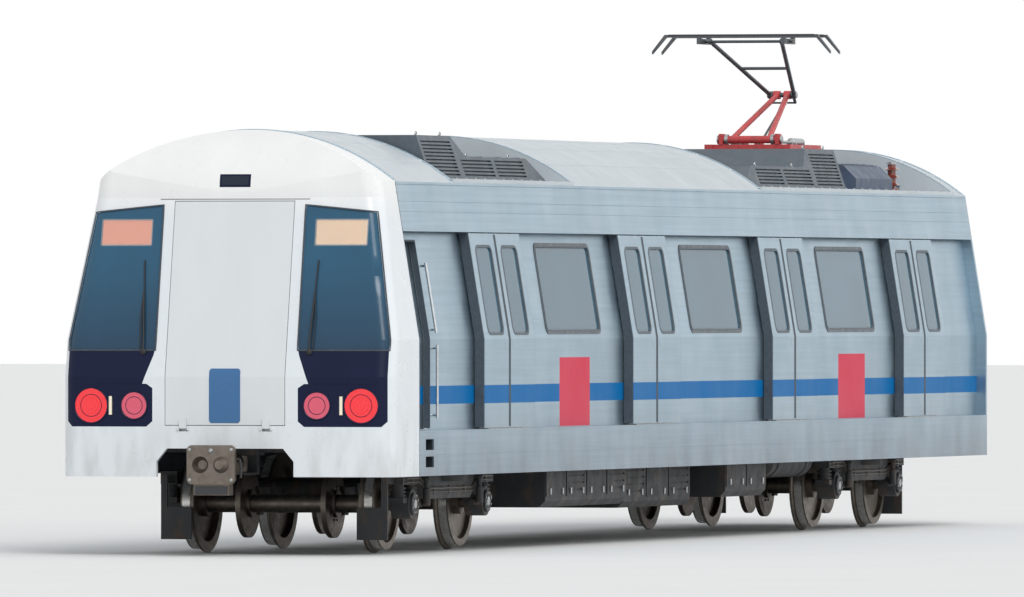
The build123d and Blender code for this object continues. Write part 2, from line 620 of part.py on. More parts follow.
with BuildPart() as destination_displays:
    add(skin((22 + FIT, 90), [(790, 2861), (1280, 2861), (1280, 3096), (790, 3096)]))
save(destination_displays, "destination_displays")

# Emergency door in the middle of the front: folds forward on its lower edge
with BuildPart() as emergency_door:
    add(skin((0, MASK_WALL), [(-DOOR_HALF + DOOR_GAP, DOOR_LOW + DOOR_GAP),
                              (DOOR_HALF - DOOR_GAP, DOOR_LOW + DOOR_GAP),
                              (DOOR_HALF - DOOR_GAP, DOOR_HIGH - DOOR_GAP),
                              (-DOOR_HALF + DOOR_GAP, DOOR_HIGH - DOOR_GAP)], (1,)))
    for y in EXIT_HINGES:
        block((EXIT_PIN[0] - 26, EXIT_PIN[0] + 14), (y - 35, y + 35), (EXIT_PIN[1] - 14, DOOR_LOW + 60))
        bar((EXIT_PIN[0], y - 40, EXIT_PIN[1]), (EXIT_PIN[0], y + 40, EXIT_PIN[1]),
            EXIT_PIN_RADIUS + PIN_FIT, Mode.SUBTRACT)
save(emergency_door, "emergency_door")

# Wall between cab and saloon, with its door
INNER_DOOR_HALF = 330
INNER_DOOR_Z = (FLOOR_Z + 8, 3060)
INNER_DOOR_GAP = 10
INNER_PIN = (PARTITION_X + PARTITION + 16, INNER_DOOR_HALF + 5)
INNER_PIN_RADIUS = 6
KNUCKLE_RADIUS = 11
INNER_HINGES = (1400, 2100, 2800)
with BuildPart() as cab_partition:
    x = (PARTITION_X, PARTITION_X + PARTITION)
    jamb = INNER_DOOR_HALF + INNER_DOOR_GAP
    for side in (1, -1):
        edge = [(side * wall_y(height, WALL_IN + 60), height)
                for height in (FLOOR_Z, WAIST_Z, CEILING_Z - 200)]
        points = [(side * jamb, FLOOR_Z)] + edge + [(side * 900, CEILING_Z), (side * jamb, CEILING_Z)]
        outline(points, Plane.YZ.offset(x[0]), PARTITION)
    block(x, (-jamb, jamb), (INNER_DOOR_Z[1] + 8, CEILING_Z))
    for z in INNER_HINGES:
        shelf = (z - 60, z - 40)
        block((x[1], INNER_PIN[0] + 10), (INNER_PIN[1] + 20, INNER_PIN[1] + 60), shelf)
        block((INNER_PIN[0] - 10, INNER_PIN[0] + 10), (INNER_PIN[1] - 8, INNER_PIN[1] + 60), shelf)
        bar((INNER_PIN[0], INNER_PIN[1], z - 50), (INNER_PIN[0], INNER_PIN[1], z + 40), INNER_PIN_RADIUS)
save(cab_partition, "cab_partition")

with BuildPart() as partition_door:
    block(x, (-INNER_DOOR_HALF, INNER_DOOR_HALF), INNER_DOOR_Z)
    block((x[0] - 5, x[1] + 5), (-180, 180), (2150, 2900), Mode.SUBTRACT)
    for z in INNER_HINGES:
        block((x[1], INNER_PIN[0] + KNUCKLE_RADIUS), (INNER_DOOR_HALF - 60, INNER_DOOR_HALF - 8),
              (z - 30, z + 30))
        block((INNER_PIN[0] - 6, INNER_PIN[0] + KNUCKLE_RADIUS), (INNER_DOOR_HALF - 60, INNER_PIN[1]),
              (z - 30, z + 30))
        bar((INNER_PIN[0], INNER_PIN[1], z - 30), (INNER_PIN[0], INNER_PIN[1], z + 30), KNUCKLE_RADIUS)
        bar((INNER_PIN[0], INNER_PIN[1], z - 40), (INNER_PIN[0], INNER_PIN[1], z + 50),
            INNER_PIN_RADIUS + PIN_FIT, Mode.SUBTRACT)
save(partition_door, "partition_door")

# Inside: driver's desk and seat, benches, grab rails
with BuildPart() as driver_desk:
    profile = [(10050, FLOOR_Z), (10560, FLOOR_Z), (10560, 1900), (10350, 1960), (9950, 1900), (9950, 1830),
               (10050, 1800)]
    for side in (1, -1):
        low, high = sorted((side * 640, side * 1330))
        outline(profile, Plane.XZ.offset(-high), high - low)
save(driver_desk, "driver_desk")

with BuildPart() as driver_seat:
    block((9250, 9700), (-1130, -680), (1560, 1660))
    block((9200, 9290), (-1130, -680), (1640, 2260))
    bar((9475, -905, FLOOR_Z), (9475, -905, 1560), 45)
    block((9300, 9650), (-1080, -730), (FLOOR_Z, FLOOR_Z + 20))
save(driver_seat, "driver_seat")

BENCH_TOP = 1600
with BuildPart() as bench_seats:
    for side_name, side in SIDES:
        for low, high in PANELS[1:]:
            wall = WALL_IN
            profile = [(wall, BENCH_TOP + 380), (wall + 50, BENCH_TOP + 380), (wall + 70, BENCH_TOP),
                       (wall + 470, BENCH_TOP), (wall + 490, BENCH_TOP - 50), (wall + 470, BENCH_TOP - 80),
                       (wall + 200, BENCH_TOP - 80), (wall + 200, FLOOR_Z), (wall + 100, FLOOR_Z),
                       (wall + 100, BENCH_TOP - 60), (wall, BENCH_TOP)]
            section(profile, (low + 120, high - 120), side)
save(bench_seats, "bench_seats")

# Rails in the saloon, and handrails outside at the cab doors
HANDRAIL_X = CAB_DOOR_REAR - 70
HANDRAIL_STAND = 55
HANDRAIL_RADIUS = 14
HANDRAIL_FOOT = 11
with BuildPart() as grab_rails:
    for centre in DOORS:
        bar((centre, 0, FLOOR_Z), (centre, 0, CEILING_Z), 18)
    for side in (1, -1):
        bar((-10500, side * 640, 3050), (8300, side * 640, 3050), 17)
        for station in range(-4, 4):
            x = (station + 0.5) * DOOR_PITCH / 2 - 130
            bar((x, side * 640, 3050), (x, side * 640, CEILING_Z), 12)
    for side in (1, -1):
        for low, high in ((1260, 1940), (2050, 2700)):
            ends = [(HANDRAIL_X, side * wall_y(z, WALL_DEPTH - HANDRAIL_STAND), z) for z in (low, high)]
            bar(ends[0], ends[1], HANDRAIL_RADIUS)
            for z in (low + 30, high - 30):
                lap = HANDRAIL_FOOT * LEAN if z > WAIST_Z else 0
                bar((HANDRAIL_X, side * wall_y(z, WALL_DEPTH - lap), z),
                    (HANDRAIL_X, side * wall_y(z, WALL_DEPTH - HANDRAIL_STAND), z), HANDRAIL_FOOT)
save(grab_rails, "grab_rails")

# Air conditioning units: cases with leaning, louvred sides, raised over the condenser fans


def unit_half(height, inset=0):
    """Half width of a roof unit at a height."""
    return UNIT_HALF - inset - (height - ROOF_FLOOR) * UNIT_LEAN


def unit_case(tall, low, inset):
    """Case of a roof unit from its raised end to its low end, with its sides inset."""
    way = 1 if tall > low else -1
    profile = [(tall, ROOF_FLOOR), (tall, UNIT_TOP), (tall - way * UNIT_RAISED, UNIT_TOP),
               (tall - way * (UNIT_RAISED + 300), UNIT_LOW), (low + way * 470, UNIT_LOW), (low, ROOF_FLOOR)]
    ends = sorted((tall, low))
    with BuildPart(mode=Mode.PRIVATE) as case:
        outline(profile, Plane.XZ.offset(-UNIT_HALF), 2 * UNIT_HALF)
        section_yz = [(-unit_half(ROOF_FLOOR, inset), ROOF_FLOOR), (unit_half(ROOF_FLOOR, inset), ROOF_FLOOR),
                      (unit_half(UNIT_TOP, inset), UNIT_TOP), (-unit_half(UNIT_TOP, inset), UNIT_TOP)]
        outline(section_yz, Plane.YZ.offset(ends[0]), ends[1] - ends[0], Mode.INTERSECT)
    return case.part


def unit_slots(tall, low):
    """Centres and lengths of the louvre slots in the side of a roof unit: one tall panel and two low ones."""
    way = 1 if tall > low else -1
    slots = []
    for start, stop, top in ((80, UNIT_RAISED - 60, UNIT_TOP), (UNIT_RAISED + 100, 2230, UNIT_LOW),
                             (2330, abs(tall - low) - 620, UNIT_LOW)):
        levels = int((top - ROOF_FLOOR - 50) / LOUVRE_PITCH)
        for level in range(levels):
            middle = tall - way * (start + stop) / 2
            slots.append((middle, ROOF_FLOOR + 45 + level * LOUVRE_PITCH, stop - start))
    return slots


with BuildPart() as roof_ac_units:
    for tall, low in UNITS:
        way = 1 if tall > low else -1
        with BuildPart(mode=Mode.PRIVATE) as unit:
            add(unit_case(tall, low, 0))
            with BuildSketch(Plane.XZ.offset(-UNIT_HALF)):
                for x, z, length in unit_slots(tall, low):
                    with Locations((x, z)):
                        Rectangle(length, LOUVRE)
            extrude(amount=2 * UNIT_HALF, mode=Mode.SUBTRACT)
            add(unit_case(tall, low, LOUVRE_DEPTH))
            for side in (1, -1):
                x = tall - way * UNIT_RAISED / 2
                y = side * unit_half(UNIT_TOP) / 2
                bar((x, y, UNIT_TOP - FAN_DEPTH), (x, y, UNIT_TOP + 10), FAN_RADIUS, Mode.SUBTRACT)
                bar((x, y, UNIT_TOP - FAN_DEPTH), (x, y, UNIT_TOP - 8), FAN_RADIUS / 3)
                for reach in ((FAN_RADIUS, 8), (8, FAN_RADIUS)):
                    block((x - reach[0], x + reach[0]), (y - reach[1], y + reach[1]),
                      (UNIT_TOP - 20, UNIT_TOP - 5))
        add(unit.part)
save(roof_ac_units, "roof_ac_units")

# Insulators: four under the pantograph, one on the circuit breaker and an arrester
BASE_X = (-8400, -7200)
BASE_Y = 420
BREAKER = ((-9100, -8800), (-570, -270), 3700)
BREAKER_POST = (-8950, -BASE_Y)
ARRESTER_POST = (-9600, 900)
POSTS = [(x, y, ROOF_FLOOR, PAN_BASE_Z)
         for x in (BASE_X[0] + 60, BASE_X[1] - 60) for y in (-BASE_Y, BASE_Y)]
POSTS.append((BREAKER_POST[0], BREAKER_POST[1], BREAKER[2], PAN_BASE_Z))
POSTS.append((ARRESTER_POST[0], ARRESTER_POST[1], ROOF_FLOOR, 3800))
POST_FOOT = 70
POST_CORE = 45
SHED = 85
SHED_PITCH = 80
with BuildPart() as pantograph_insulators:
    for x, y, foot, top in POSTS:
        points = [(0, foot), (POST_FOOT, foot), (POST_FOOT, foot + 30), (POST_CORE, foot + 40)]
        for index in range(int((top - foot - 60) / SHED_PITCH)):
            rise = foot + 55 + index * SHED_PITCH
            points += [(POST_CORE, rise), (SHED, rise + 10), (POST_CORE, rise + 35)]
        points += [(POST_CORE, top), (0, top)]
        with BuildSketch(Plane(origin=(x, y, 0), x_dir=(1, 0, 0), z_dir=(0, -1, 0))) as shape:
            with BuildLine():
                Polyline(*points, close=True)
            make_face()
        revolve(shape.sketch, axis=Axis((x, y, 0), (0, 0, 1)))
save(pantograph_insulators, "pantograph_insulators")

PX, PZ = PAN_PIVOT
ROD_PIVOT = (PX - 350, PZ - 60)
ROD_PIN = 15
with BuildPart() as pantograph_base:
    for y in (-BASE_Y, BASE_Y):
        block(BASE_X, (y - 40, y + 40), (PAN_BASE_Z, PAN_BASE_Z + 60))
    for x in (BASE_X[0] + 60, PX):
        block((x - 40, x + 40), (-BASE_Y, BASE_Y), (PAN_BASE_Z, PAN_BASE_Z + 60))
    block((ROD_PIVOT[0] - 40, ROD_PIVOT[0] + 40), (-BASE_Y, BASE_Y), (PAN_BASE_Z - 40, PAN_BASE_Z + 10))
    for low, high in ((-40, -25), (25, 40)):
        block((ROD_PIVOT[0] - 40, ROD_PIVOT[0] + 40), (low, high), (PAN_BASE_Z, PAN_BASE_Z + 60))
    for y in (-300, 300):
        block((PX - 50, PX + 50), (y - 20, y + 20), (PAN_BASE_Z + 60, PZ + 60))
        bar((PX, y - 30, PZ), (PX, y + 30, PZ), 40 + PIN_FIT, Mode.SUBTRACT)
    for low, high in ((-40, -25), (25, 40)):
        block((ROD_PIVOT[0] - 40, ROD_PIVOT[0] + 40), (low, high), (PAN_BASE_Z + 60, ROD_PIVOT[1] + 30))
    bar((ROD_PIVOT[0], -40, ROD_PIVOT[1]), (ROD_PIVOT[0], 40, ROD_PIVOT[1]), ROD_PIN)
save(pantograph_base, "pantograph_base")

rise = sin(radians(ARM_ANGLE))
run = cos(radians(ARM_ANGLE))
KNEE = (PX - LOWER_ARM * run, PZ + LOWER_ARM * rise)
HEAD = (KNEE[0] + UPPER_ARM * run, KNEE[1] + UPPER_ARM * rise)
with BuildPart() as lower_arm:
    bar((PX, -330, PZ), (PX, 330, PZ), 40)
    for side in (1, -1):
        bar((PX, side * 200, PZ), (KNEE[0], side * 52, KNEE[1]), 28)
        bar((KNEE[0], side * 22, KNEE[1]), (KNEE[0], side * 90, KNEE[1]), 44)
    bar((KNEE[0], -100, KNEE[1]), (KNEE[0], 100, KNEE[1]), 25 + PIN_FIT, Mode.SUBTRACT)
save(lower_arm, "lower_arm")

TAIL = (KNEE[0] - 80, KNEE[1] - 80)
with BuildPart() as upper_arm:
    bar((KNEE[0], -145, KNEE[1]), (KNEE[0], 145, KNEE[1]), 25)
    for side in (1, -1):
        bar((KNEE[0], side * 95, KNEE[1]), (KNEE[0], side * 145, KNEE[1]), 40)
        bar((KNEE[0], side * 128, KNEE[1]), (HEAD[0], side * 380, HEAD[1]), 22)
        bar((KNEE[0], side * 118, KNEE[1]), (TAIL[0], side * 118, TAIL[1]), 16)
        bar((TAIL[0], side * 32, TAIL[1]), (TAIL[0], side * 118, TAIL[1]), 10)
        bar((HEAD[0], side * 365, HEAD[1]), (HEAD[0], side * 395, HEAD[1]), 30)
    bar((HEAD[0], -500, HEAD[1]), (HEAD[0], 500, HEAD[1]), 15)
    middle = ((KNEE[0] + HEAD[0]) / 2, (KNEE[1] + HEAD[1]) / 2)
    bar((middle[0], -254, middle[1]), (middle[0], 254, middle[1]), 16)
save(upper_arm, "upper_arm")

with BuildPart() as pan_head:
    for side in (1, -1):
        y = side * 450
        block((HEAD[0] - 210, HEAD[0] + 210), (y - 20, y + 20), (HEAD[1] - 28, HEAD[1] + 28))
        bar((HEAD[0], y - 30, HEAD[1]), (HEAD[0], y + 30, HEAD[1]), 15 + PIN_FIT, Mode.SUBTRACT)
        for end in (1, -1):
            block((HEAD[0] + end * 180 - 25, HEAD[0] + end * 180 + 25), (y - 20, y + 20),
                  (HEAD[1] + 20, HEAD[1] + 40))
    for end in (1, -1):
        x = HEAD[0] + end * 180
        z = HEAD[1] + 40
        horn = [(-950, z - 170), (-800, z), (800, z), (950, z - 170), (950, z - 140), (815, z + 30),
                (-815, z + 30), (-950, z - 140)]
        outline(horn, Plane.YZ.offset(x - 25), 50)
save(pan_head, "pan_head")

with BuildPart() as coupling_rod:
    bar((ROD_PIVOT[0], -18, ROD_PIVOT[1]), (ROD_PIVOT[0], 18, ROD_PIVOT[1]), 26)
    bar((ROD_PIVOT[0], 0, ROD_PIVOT[1]), (TAIL[0], 0, TAIL[1]), 13)
    bar((TAIL[0], -18, TAIL[1]), (TAIL[0], 18, TAIL[1]), 24)
    bar((ROD_PIVOT[0], -20, ROD_PIVOT[1]), (ROD_PIVOT[0], 20, ROD_PIVOT[1]), ROD_PIN + PIN_FIT, Mode.SUBTRACT)
save(coupling_rod, "coupling_rod")

# High voltage gear: cases with a sloped outer edge, the circuit breaker and its busbar
GEAR_CASES = [                              # x, inner and outer y, height
    ((-8900, -7450), (640, 1090), 3740),
    ((-8600, -7450), (-1090, -640), 3700),
    ((-10200, -9350), (60, 700), 3760),
    ((-10200, -9350), (-700, -60), 3760),
]
GEAR_SLOPE = 130
BUSBAR_RADIUS = 12
BUSBAR_Z = PAN_BASE_Z + 30
with BuildPart() as roof_equipment:
    for x, (inner, outer), top in GEAR_CASES:
        if inner > 0:
            points = [(inner, ROOF_FLOOR), (outer, ROOF_FLOOR), (outer, top - GEAR_SLOPE),
                      (outer - GEAR_SLOPE, top), (inner, top)]
        else:
            points = [(inner, ROOF_FLOOR), (outer, ROOF_FLOOR), (outer, top), (inner + GEAR_SLOPE, top),
                      (inner, top - GEAR_SLOPE)]
        outline(points, Plane.YZ.offset(x[0]), x[1] - x[0])
    block(BREAKER[0], BREAKER[1], (ROOF_FLOOR, BREAKER[2]))
    bar((*BREAKER_POST, PAN_BASE_Z), (*BREAKER_POST, BUSBAR_Z + 20), POST_CORE)
    bar((*BREAKER_POST, BUSBAR_Z), (BASE_X[0] - FIT, BREAKER_POST[1], BUSBAR_Z), BUSBAR_RADIUS)
save(roof_equipment, "roof_equipment")

# Equipment hung under the floor: transformer, converter, two battery boxes and the compressor, with
# covers along their sides, and two air tanks
CASES = [                                   # x, y, underside, covers along each side, louvred
    ((-900, 1500), (-1150, 1150), 330, 3, True),
    ((2100, 4900), (-1350, 1350), 380, 4, True),
    ((-3000, -1500), (300, 1350), 400, 2, False),
    ((-3000, -1500), (-1350, -300), 400, 2, False),
    ((-4900, -3400), (-500, 500), 450, 2, False),
]
CASE_SLOPE = 60
COVER = 10
COVER_GAP = 40
TANK_X = (-5700, -4040)
TANK_Y = 950
TANK_RADIUS = 180
TANK_DOME = 90
TANK_Z = SILL_LOW - TANK_RADIUS - 30
TANK_STATIONS = (-5, -4)  # the straps hang from these cross bearers
STRAP = 25


def tank(x, y, z):
    """Air tank along X with domed ends."""
    sphere = (TANK_RADIUS ** 2 + TANK_DOME ** 2) / (2 * TANK_DOME)
    turn = atan2(TANK_RADIUS, sphere - TANK_DOME) / 2
    bulge = sphere * (1 - cos(turn))
    rise = sphere * sin(turn)
    with BuildSketch(Plane.XZ.offset(-y)) as half:
        with BuildLine():
            ThreePointArc((x[0], z), (x[0] + bulge, z + rise), (x[0] + TANK_DOME, z + TANK_RADIUS))
            Line((x[0] + TANK_DOME, z + TANK_RADIUS), (x[1] - TANK_DOME, z + TANK_RADIUS))
            ThreePointArc((x[1] - TANK_DOME, z + TANK_RADIUS), (x[1] - bulge, z + rise), (x[1], z))
            Line((x[1], z), (x[0], z))
        make_face()
    revolve(half.sketch, axis=Axis((0, y, z), (1, 0, 0)))


def hung_case(x, y, low, covers, louvred):
    """Case below the floor with sloped lower edges and covers, every other one louvred, along both sides."""
    pitch = (x[1] - x[0]) / covers
    half = (pitch - COVER_GAP) / 2
    cover_z = (low + CASE_SLOPE + COVER_GAP, SILL_LOW - COVER_GAP)
    levels = int((cover_z[1] - cover_z[0] - 60) / (2 * LOUVRE_PITCH))
    centres = [x[0] + (index + 0.5) * pitch for index in range(covers)]
    slots = [(centre, cover_z[0] + 60 + level * 2 * LOUVRE_PITCH)
             for centre in centres[::2] for level in range(levels)]
    points = [(y[0], SILL_LOW), (y[0], low + CASE_SLOPE), (y[0] + CASE_SLOPE, low), (y[1] - CASE_SLOPE, low),
              (y[1], low + CASE_SLOPE), (y[1], SILL_LOW)]
    with BuildPart(mode=Mode.PRIVATE) as case:
        outline(points, Plane.YZ.offset(x[0]), x[1] - x[0])
        for face, way in ((y[0], -1), (y[1], 1)):
            cover_y = sorted((face - way * COVER, face + way * COVER))
            for centre in centres:
                block((centre - half, centre + half), cover_y, cover_z)
            if louvred:
                with BuildSketch(Plane.XZ.offset(-face)) as openings:
                    with Locations(*slots):
                        Rectangle(2 * half - 120, LOUVRE)
                extrude(openings.sketch, amount=-way * 2 * COVER, mode=Mode.SUBTRACT)
    return case.part


with BuildPart() as underfloor_cases:
    for x, y, low, covers, louvred in CASES:
        add(hung_case(x, y, low, covers, louvred))
    for y in (-TANK_Y, TANK_Y):
        tank(TANK_X, y, TANK_Z)
        for station in TANK_STATIONS:
            x = station * BEARER_PITCH
            bar((x - STRAP, y, TANK_Z), (x + STRAP, y, TANK_Z), TANK_RADIUS + 8)
            block((x - STRAP, x + STRAP), (y - 60, y + 60), (TANK_Z, SILL_LOW))
save(underfloor_cases, "underfloor_cases")

# Couplers: the front one has a rounded plate with a cone and a cup that find the other coupler, and a box
# of contacts below; the rear one is a plain bar
SHANK_RADIUS = 70
HEAD_X = 10960
HEAD_HALF = 190
HEAD_HIGH = 150
PLATE_THICK = 40
with BuildPart() as front_coupler:
    bar((COUPLER_PIVOT_X, 0, COUPLER_Z - 75), (COUPLER_PIVOT_X, 0, COUPLER_Z + 75), 80)
    bar((COUPLER_PIVOT_X + 60, 0, COUPLER_Z), (HEAD_X + 20, 0, COUPLER_Z), SHANK_RADIUS)
    bar((COUPLER_PIVOT_X + 150, 0, COUPLER_Z), (COUPLER_PIVOT_X + 420, 0, COUPLER_Z), SHANK_RADIUS + 30)
    plan = [(HEAD_X, -SHANK_RADIUS), (HEAD_X + 90, -HEAD_HALF), (COUPLER_PLATE_X - 20, -HEAD_HALF),
            (COUPLER_PLATE_X - 20, HEAD_HALF), (HEAD_X + 90, HEAD_HALF), (HEAD_X, SHANK_RADIUS)]
    outline(plan, Plane.XY.offset(COUPLER_Z - HEAD_HIGH), 2 * HEAD_HIGH)
    with BuildSketch(Plane(origin=(COUPLER_PLATE_X - PLATE_THICK, 0, COUPLER_Z), x_dir=(0, 1, 0),
                           z_dir=(1, 0, 0))) as plate:
        RectangleRounded(2 * HEAD_HALF + 80, 2 * HEAD_HIGH + 60, 50)
    extrude(plate.sketch, amount=PLATE_THICK)
    block((COUPLER_PLATE_X - 150, COUPLER_PLATE_X - 20), (-170, 170),
          (COUPLER_Z - HEAD_HIGH - 130, COUPLER_Z))
    with Locations(Location((COUPLER_PLATE_X + GUIDE_CONE / 2, GUIDE_Y, COUPLER_Z), (0, 90, 0))):
        Cone(75, 40, GUIDE_CONE)
    with Locations(Location((COUPLER_PLATE_X - GUIDE_CONE / 2, -GUIDE_Y, COUPLER_Z), (0, -90, 0))):
        Cone(77, 42, GUIDE_CONE, mode=Mode.SUBTRACT)
    bar((COUPLER_PIVOT_X, 0, COUPLER_Z - 90), (COUPLER_PIVOT_X, 0, COUPLER_Z + 90), 40 + PIN_FIT,
        Mode.SUBTRACT)
save(front_coupler, "front_coupler")

with BuildPart() as rear_coupler:
    bar((-COUPLER_END + 60, 0, COUPLER_Z), (REAR_BEAM_X, 0, COUPLER_Z), 85)
    bar((-COUPLER_END, 0, COUPLER_Z), (-COUPLER_END + 60, 0, COUPLER_Z), 150)
    bar((-COUPLER_END + 180, 0, COUPLER_Z), (-COUPLER_END + 330, 0, COUPLER_Z), 110)
save(rear_coupler, "rear_coupler")

# Air springs between bogies and body
with BuildPart() as air_springs:
    for end in (1, -1):
        for side in (1, -1):
            x = end * BOGIE_CENTRES / 2
            y = side * BEAM_Y
            with BuildSketch(Plane(origin=(x, y, 0), x_dir=(1, 0, 0), z_dir=(0, -1, 0))):
                with BuildLine():
                    low = BEAM_SEAT_Z + FIT
                    Polyline((0, low), (170, low), (170, low + 40), (240, low + 80), (240, SILL_LOW - 40),
                             (200, SILL_LOW), (0, SILL_LOW), close=True)
                make_face()
            revolve(axis=Axis((x, y, 0), (0, 0, 1)))
save(air_springs, "air_springs")

# Bogies: frame with brake gear and wheel guards, and axle boxes under ribbed rubber springs
BOX_RADIUS = 140
BOX_HALF = 90
for end_name, end in (("front", 1), ("rear", -1)):
    centre = end * BOGIE_CENTRES / 2
    with BuildPart() as bogie_frame:
        for side in (1, -1):
            profile = [(-1480, BEAM_END_Z), (-950, BEAM_END_Z), (-700, 500), (700, 500), (950, BEAM_END_Z),
                       (1480, BEAM_END_Z), (1480, 760), (880, 780), (620, BEAM_SEAT_Z), (-620, BEAM_SEAT_Z),
                       (-880, 780), (-1480, 760)]
            points = [(centre + x, z) for x, z in profile]
            y = side * BEAM_Y
            outline(points, Plane.XZ.offset(-(y + BEAM_WIDTH / 2)), BEAM_WIDTH)
            bar((centre, y, BEAM_SEAT_Z - 60), (centre, y, BEAM_SEAT_Z), 230)
        for x in (-260, 260):
            bar((centre + x, -BEAM_Y, 600), (centre + x, BEAM_Y, 600), 85)
        for axle in (1, -1):
            pad_x = sorted((centre + axle * (WHEELBASE / 2 - reach) for reach in PAD_REACH))
            arm_x = sorted((centre + axle * 300, centre + axle * (WHEELBASE / 2 - PAD_REACH[0])))
            cylinder_x = centre + axle * (WHEELBASE / 2 - DISC_RADIUS - 260)
            cylinder_y = (DISC[0] - 50, DISC[1] + 50)
            for side in (1, -1):
                for face, way in ((DISC[0] - PAD_GAP, -1), (DISC[1] + PAD_GAP, 1)):
                    pad_y = sorted((side * face, side * (face + way * PAD_THICK)))
                    block(pad_x, pad_y, (AXLE_Z - 110, AXLE_Z + 110))
                    block(arm_x, pad_y, (BRAKE_Z - 50, BRAKE_Z + 20))
                bar((cylinder_x, side * cylinder_y[0], BRAKE_Z),
                    (cylinder_x, side * cylinder_y[1], BRAKE_Z), 60)
        for side in (1, -1):
            guard_x = sorted((centre + end * GUARD_X, centre + end * (GUARD_X + GUARD_THICK)))
            arm_x = sorted((centre + end * 1450, centre + end * (GUARD_X + GUARD_THICK)))
            leg_y = sorted((side * (BEAM_Y - 60), side * BEAM_Y))
            block(arm_x, leg_y, (BEAM_END_Z + 10, BEAM_END_Z + 80))
            block(guard_x, leg_y, (GUARD_LOW + 280, BEAM_END_Z + 80))
            block(guard_x, sorted((side * FLANGE_BACK, side * BEAM_Y)), (GUARD_LOW, GUARD_LOW + 300))
        block((centre - 300, centre + 300), (-210, 210), (530, 700))
        bar((centre, 0, 500), (centre, 0, 800), PIVOT_RADIUS + PIN_FIT, Mode.SUBTRACT)
    save(bogie_frame, f"bogie_frame_{end_name}")

    with BuildPart() as axle_boxes:
        for axle in (1, -1):
            for side in (1, -1):
                x = centre + axle * WHEELBASE / 2
                y = side * BEAM_Y
                bar((x, y - BOX_HALF, AXLE_Z), (x, y + BOX_HALF, AXLE_Z), BOX_RADIUS)
                bar((x, side * (BEAM_Y + BOX_HALF), AXLE_Z), (x, side * (BEAM_Y + BOX_HALF + 22), AXLE_Z),
                    BOX_RADIUS - 35)
                wing = SPRING_SPREAD + 80
                block((x - wing, x + wing), (y - 75, y + 75), (AXLE_Z + 10, AXLE_Z + 60))
                for spread in (-SPRING_SPREAD, SPRING_SPREAD):
                    bar((x + spread, y, AXLE_Z + 50), (x + spread, y, BEAM_END_Z), SPRING_RADIUS)
                    for rib in range(3):
                        z = AXLE_Z + 70 + rib * 34
                        bar((x + spread, y, z), (x + spread, y, z + 18), SPRING_RADIUS + 18)
                bar((x, side * (BEAM_Y - 100), AXLE_Z), (x, side * (JOURNAL_END + 6), AXLE_Z),
                    JOURNAL_RADIUS + PIN_FIT, Mode.SUBTRACT)
    save(axle_boxes, f"axle_boxes_{end_name}")

# Wheelsets: half of the section of one, from the middle of the axle outward
HALF_AXLE = [(0, AXLE_RADIUS), (DISC[0] - 30, AXLE_RADIUS), (DISC[0] - 30, DISC_HUB), (DISC[0], DISC_HUB),
             (DISC[0], DISC_RADIUS), (DISC[1], DISC_RADIUS), (DISC[1], DISC_HUB), (DISC[1] + 30, DISC_HUB),
             (DISC[1] + 30, AXLE_RADIUS), (FLANGE_BACK - 10, AXLE_RADIUS), (FLANGE_BACK - 10, 125),
             (855, 125),
             (865, 350), (FLANGE_BACK, 360), (FLANGE_BACK, WHEEL_RADIUS + FLANGE),
             (FLANGE_BACK + 20, WHEEL_RADIUS + FLANGE), (FLANGE_BACK + 34, WHEEL_RADIUS),
             (FLANGE_BACK + WHEEL_WIDTH, WHEEL_RADIUS - 4), (FLANGE_BACK + WHEEL_WIDTH, 360), (895, 350),
             (885, 125), (950, 125), (950, JOURNAL_RADIUS), (JOURNAL_END, JOURNAL_RADIUS), (JOURNAL_END, 0)]
WHEELSETS = []
for index in range(4):
    bogie = BOGIE_CENTRES / 2 if index < 2 else -BOGIE_CENTRES / 2
    WHEELSETS.append(bogie + (WHEELBASE / 2 if index % 2 == 0 else -WHEELBASE / 2))
for index, x in enumerate(WHEELSETS):
    with BuildPart() as wheelset:
        with BuildSketch(Plane(origin=(x, 0, AXLE_Z), x_dir=(0, 1, 0), z_dir=(1, 0, 0))):
            with BuildLine():
                mirrored = [(-y, radius) for y, radius in reversed(HALF_AXLE[1:])]
                Polyline(*mirrored, *HALF_AXLE, close=True)
            make_face()
        revolve(axis=Axis((x, 0, AXLE_Z), (0, 1, 0)))
    save(wheelset, f"wheelset_{index + 1}")
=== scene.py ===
import json
from math import asin, cos, exp, pi, radians, sin, sqrt, tan

import bmesh
import bpy
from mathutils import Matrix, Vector
from mathutils.bvhtree import BVHTree


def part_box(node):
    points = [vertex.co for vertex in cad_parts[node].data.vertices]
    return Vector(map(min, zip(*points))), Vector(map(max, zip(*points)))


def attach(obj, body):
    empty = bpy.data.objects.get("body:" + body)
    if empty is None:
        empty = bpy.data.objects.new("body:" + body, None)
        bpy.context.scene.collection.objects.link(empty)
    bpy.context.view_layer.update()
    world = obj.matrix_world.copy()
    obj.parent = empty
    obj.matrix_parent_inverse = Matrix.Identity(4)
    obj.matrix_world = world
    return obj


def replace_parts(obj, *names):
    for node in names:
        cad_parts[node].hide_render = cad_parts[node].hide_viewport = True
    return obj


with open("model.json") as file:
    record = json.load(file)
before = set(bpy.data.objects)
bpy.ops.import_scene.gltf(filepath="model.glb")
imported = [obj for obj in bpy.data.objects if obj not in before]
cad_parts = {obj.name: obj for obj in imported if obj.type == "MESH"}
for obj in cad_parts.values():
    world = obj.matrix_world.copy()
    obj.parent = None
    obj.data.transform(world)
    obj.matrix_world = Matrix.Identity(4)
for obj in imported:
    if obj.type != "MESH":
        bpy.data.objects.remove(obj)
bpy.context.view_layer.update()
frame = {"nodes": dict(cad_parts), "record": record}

NODES = frame["nodes"]

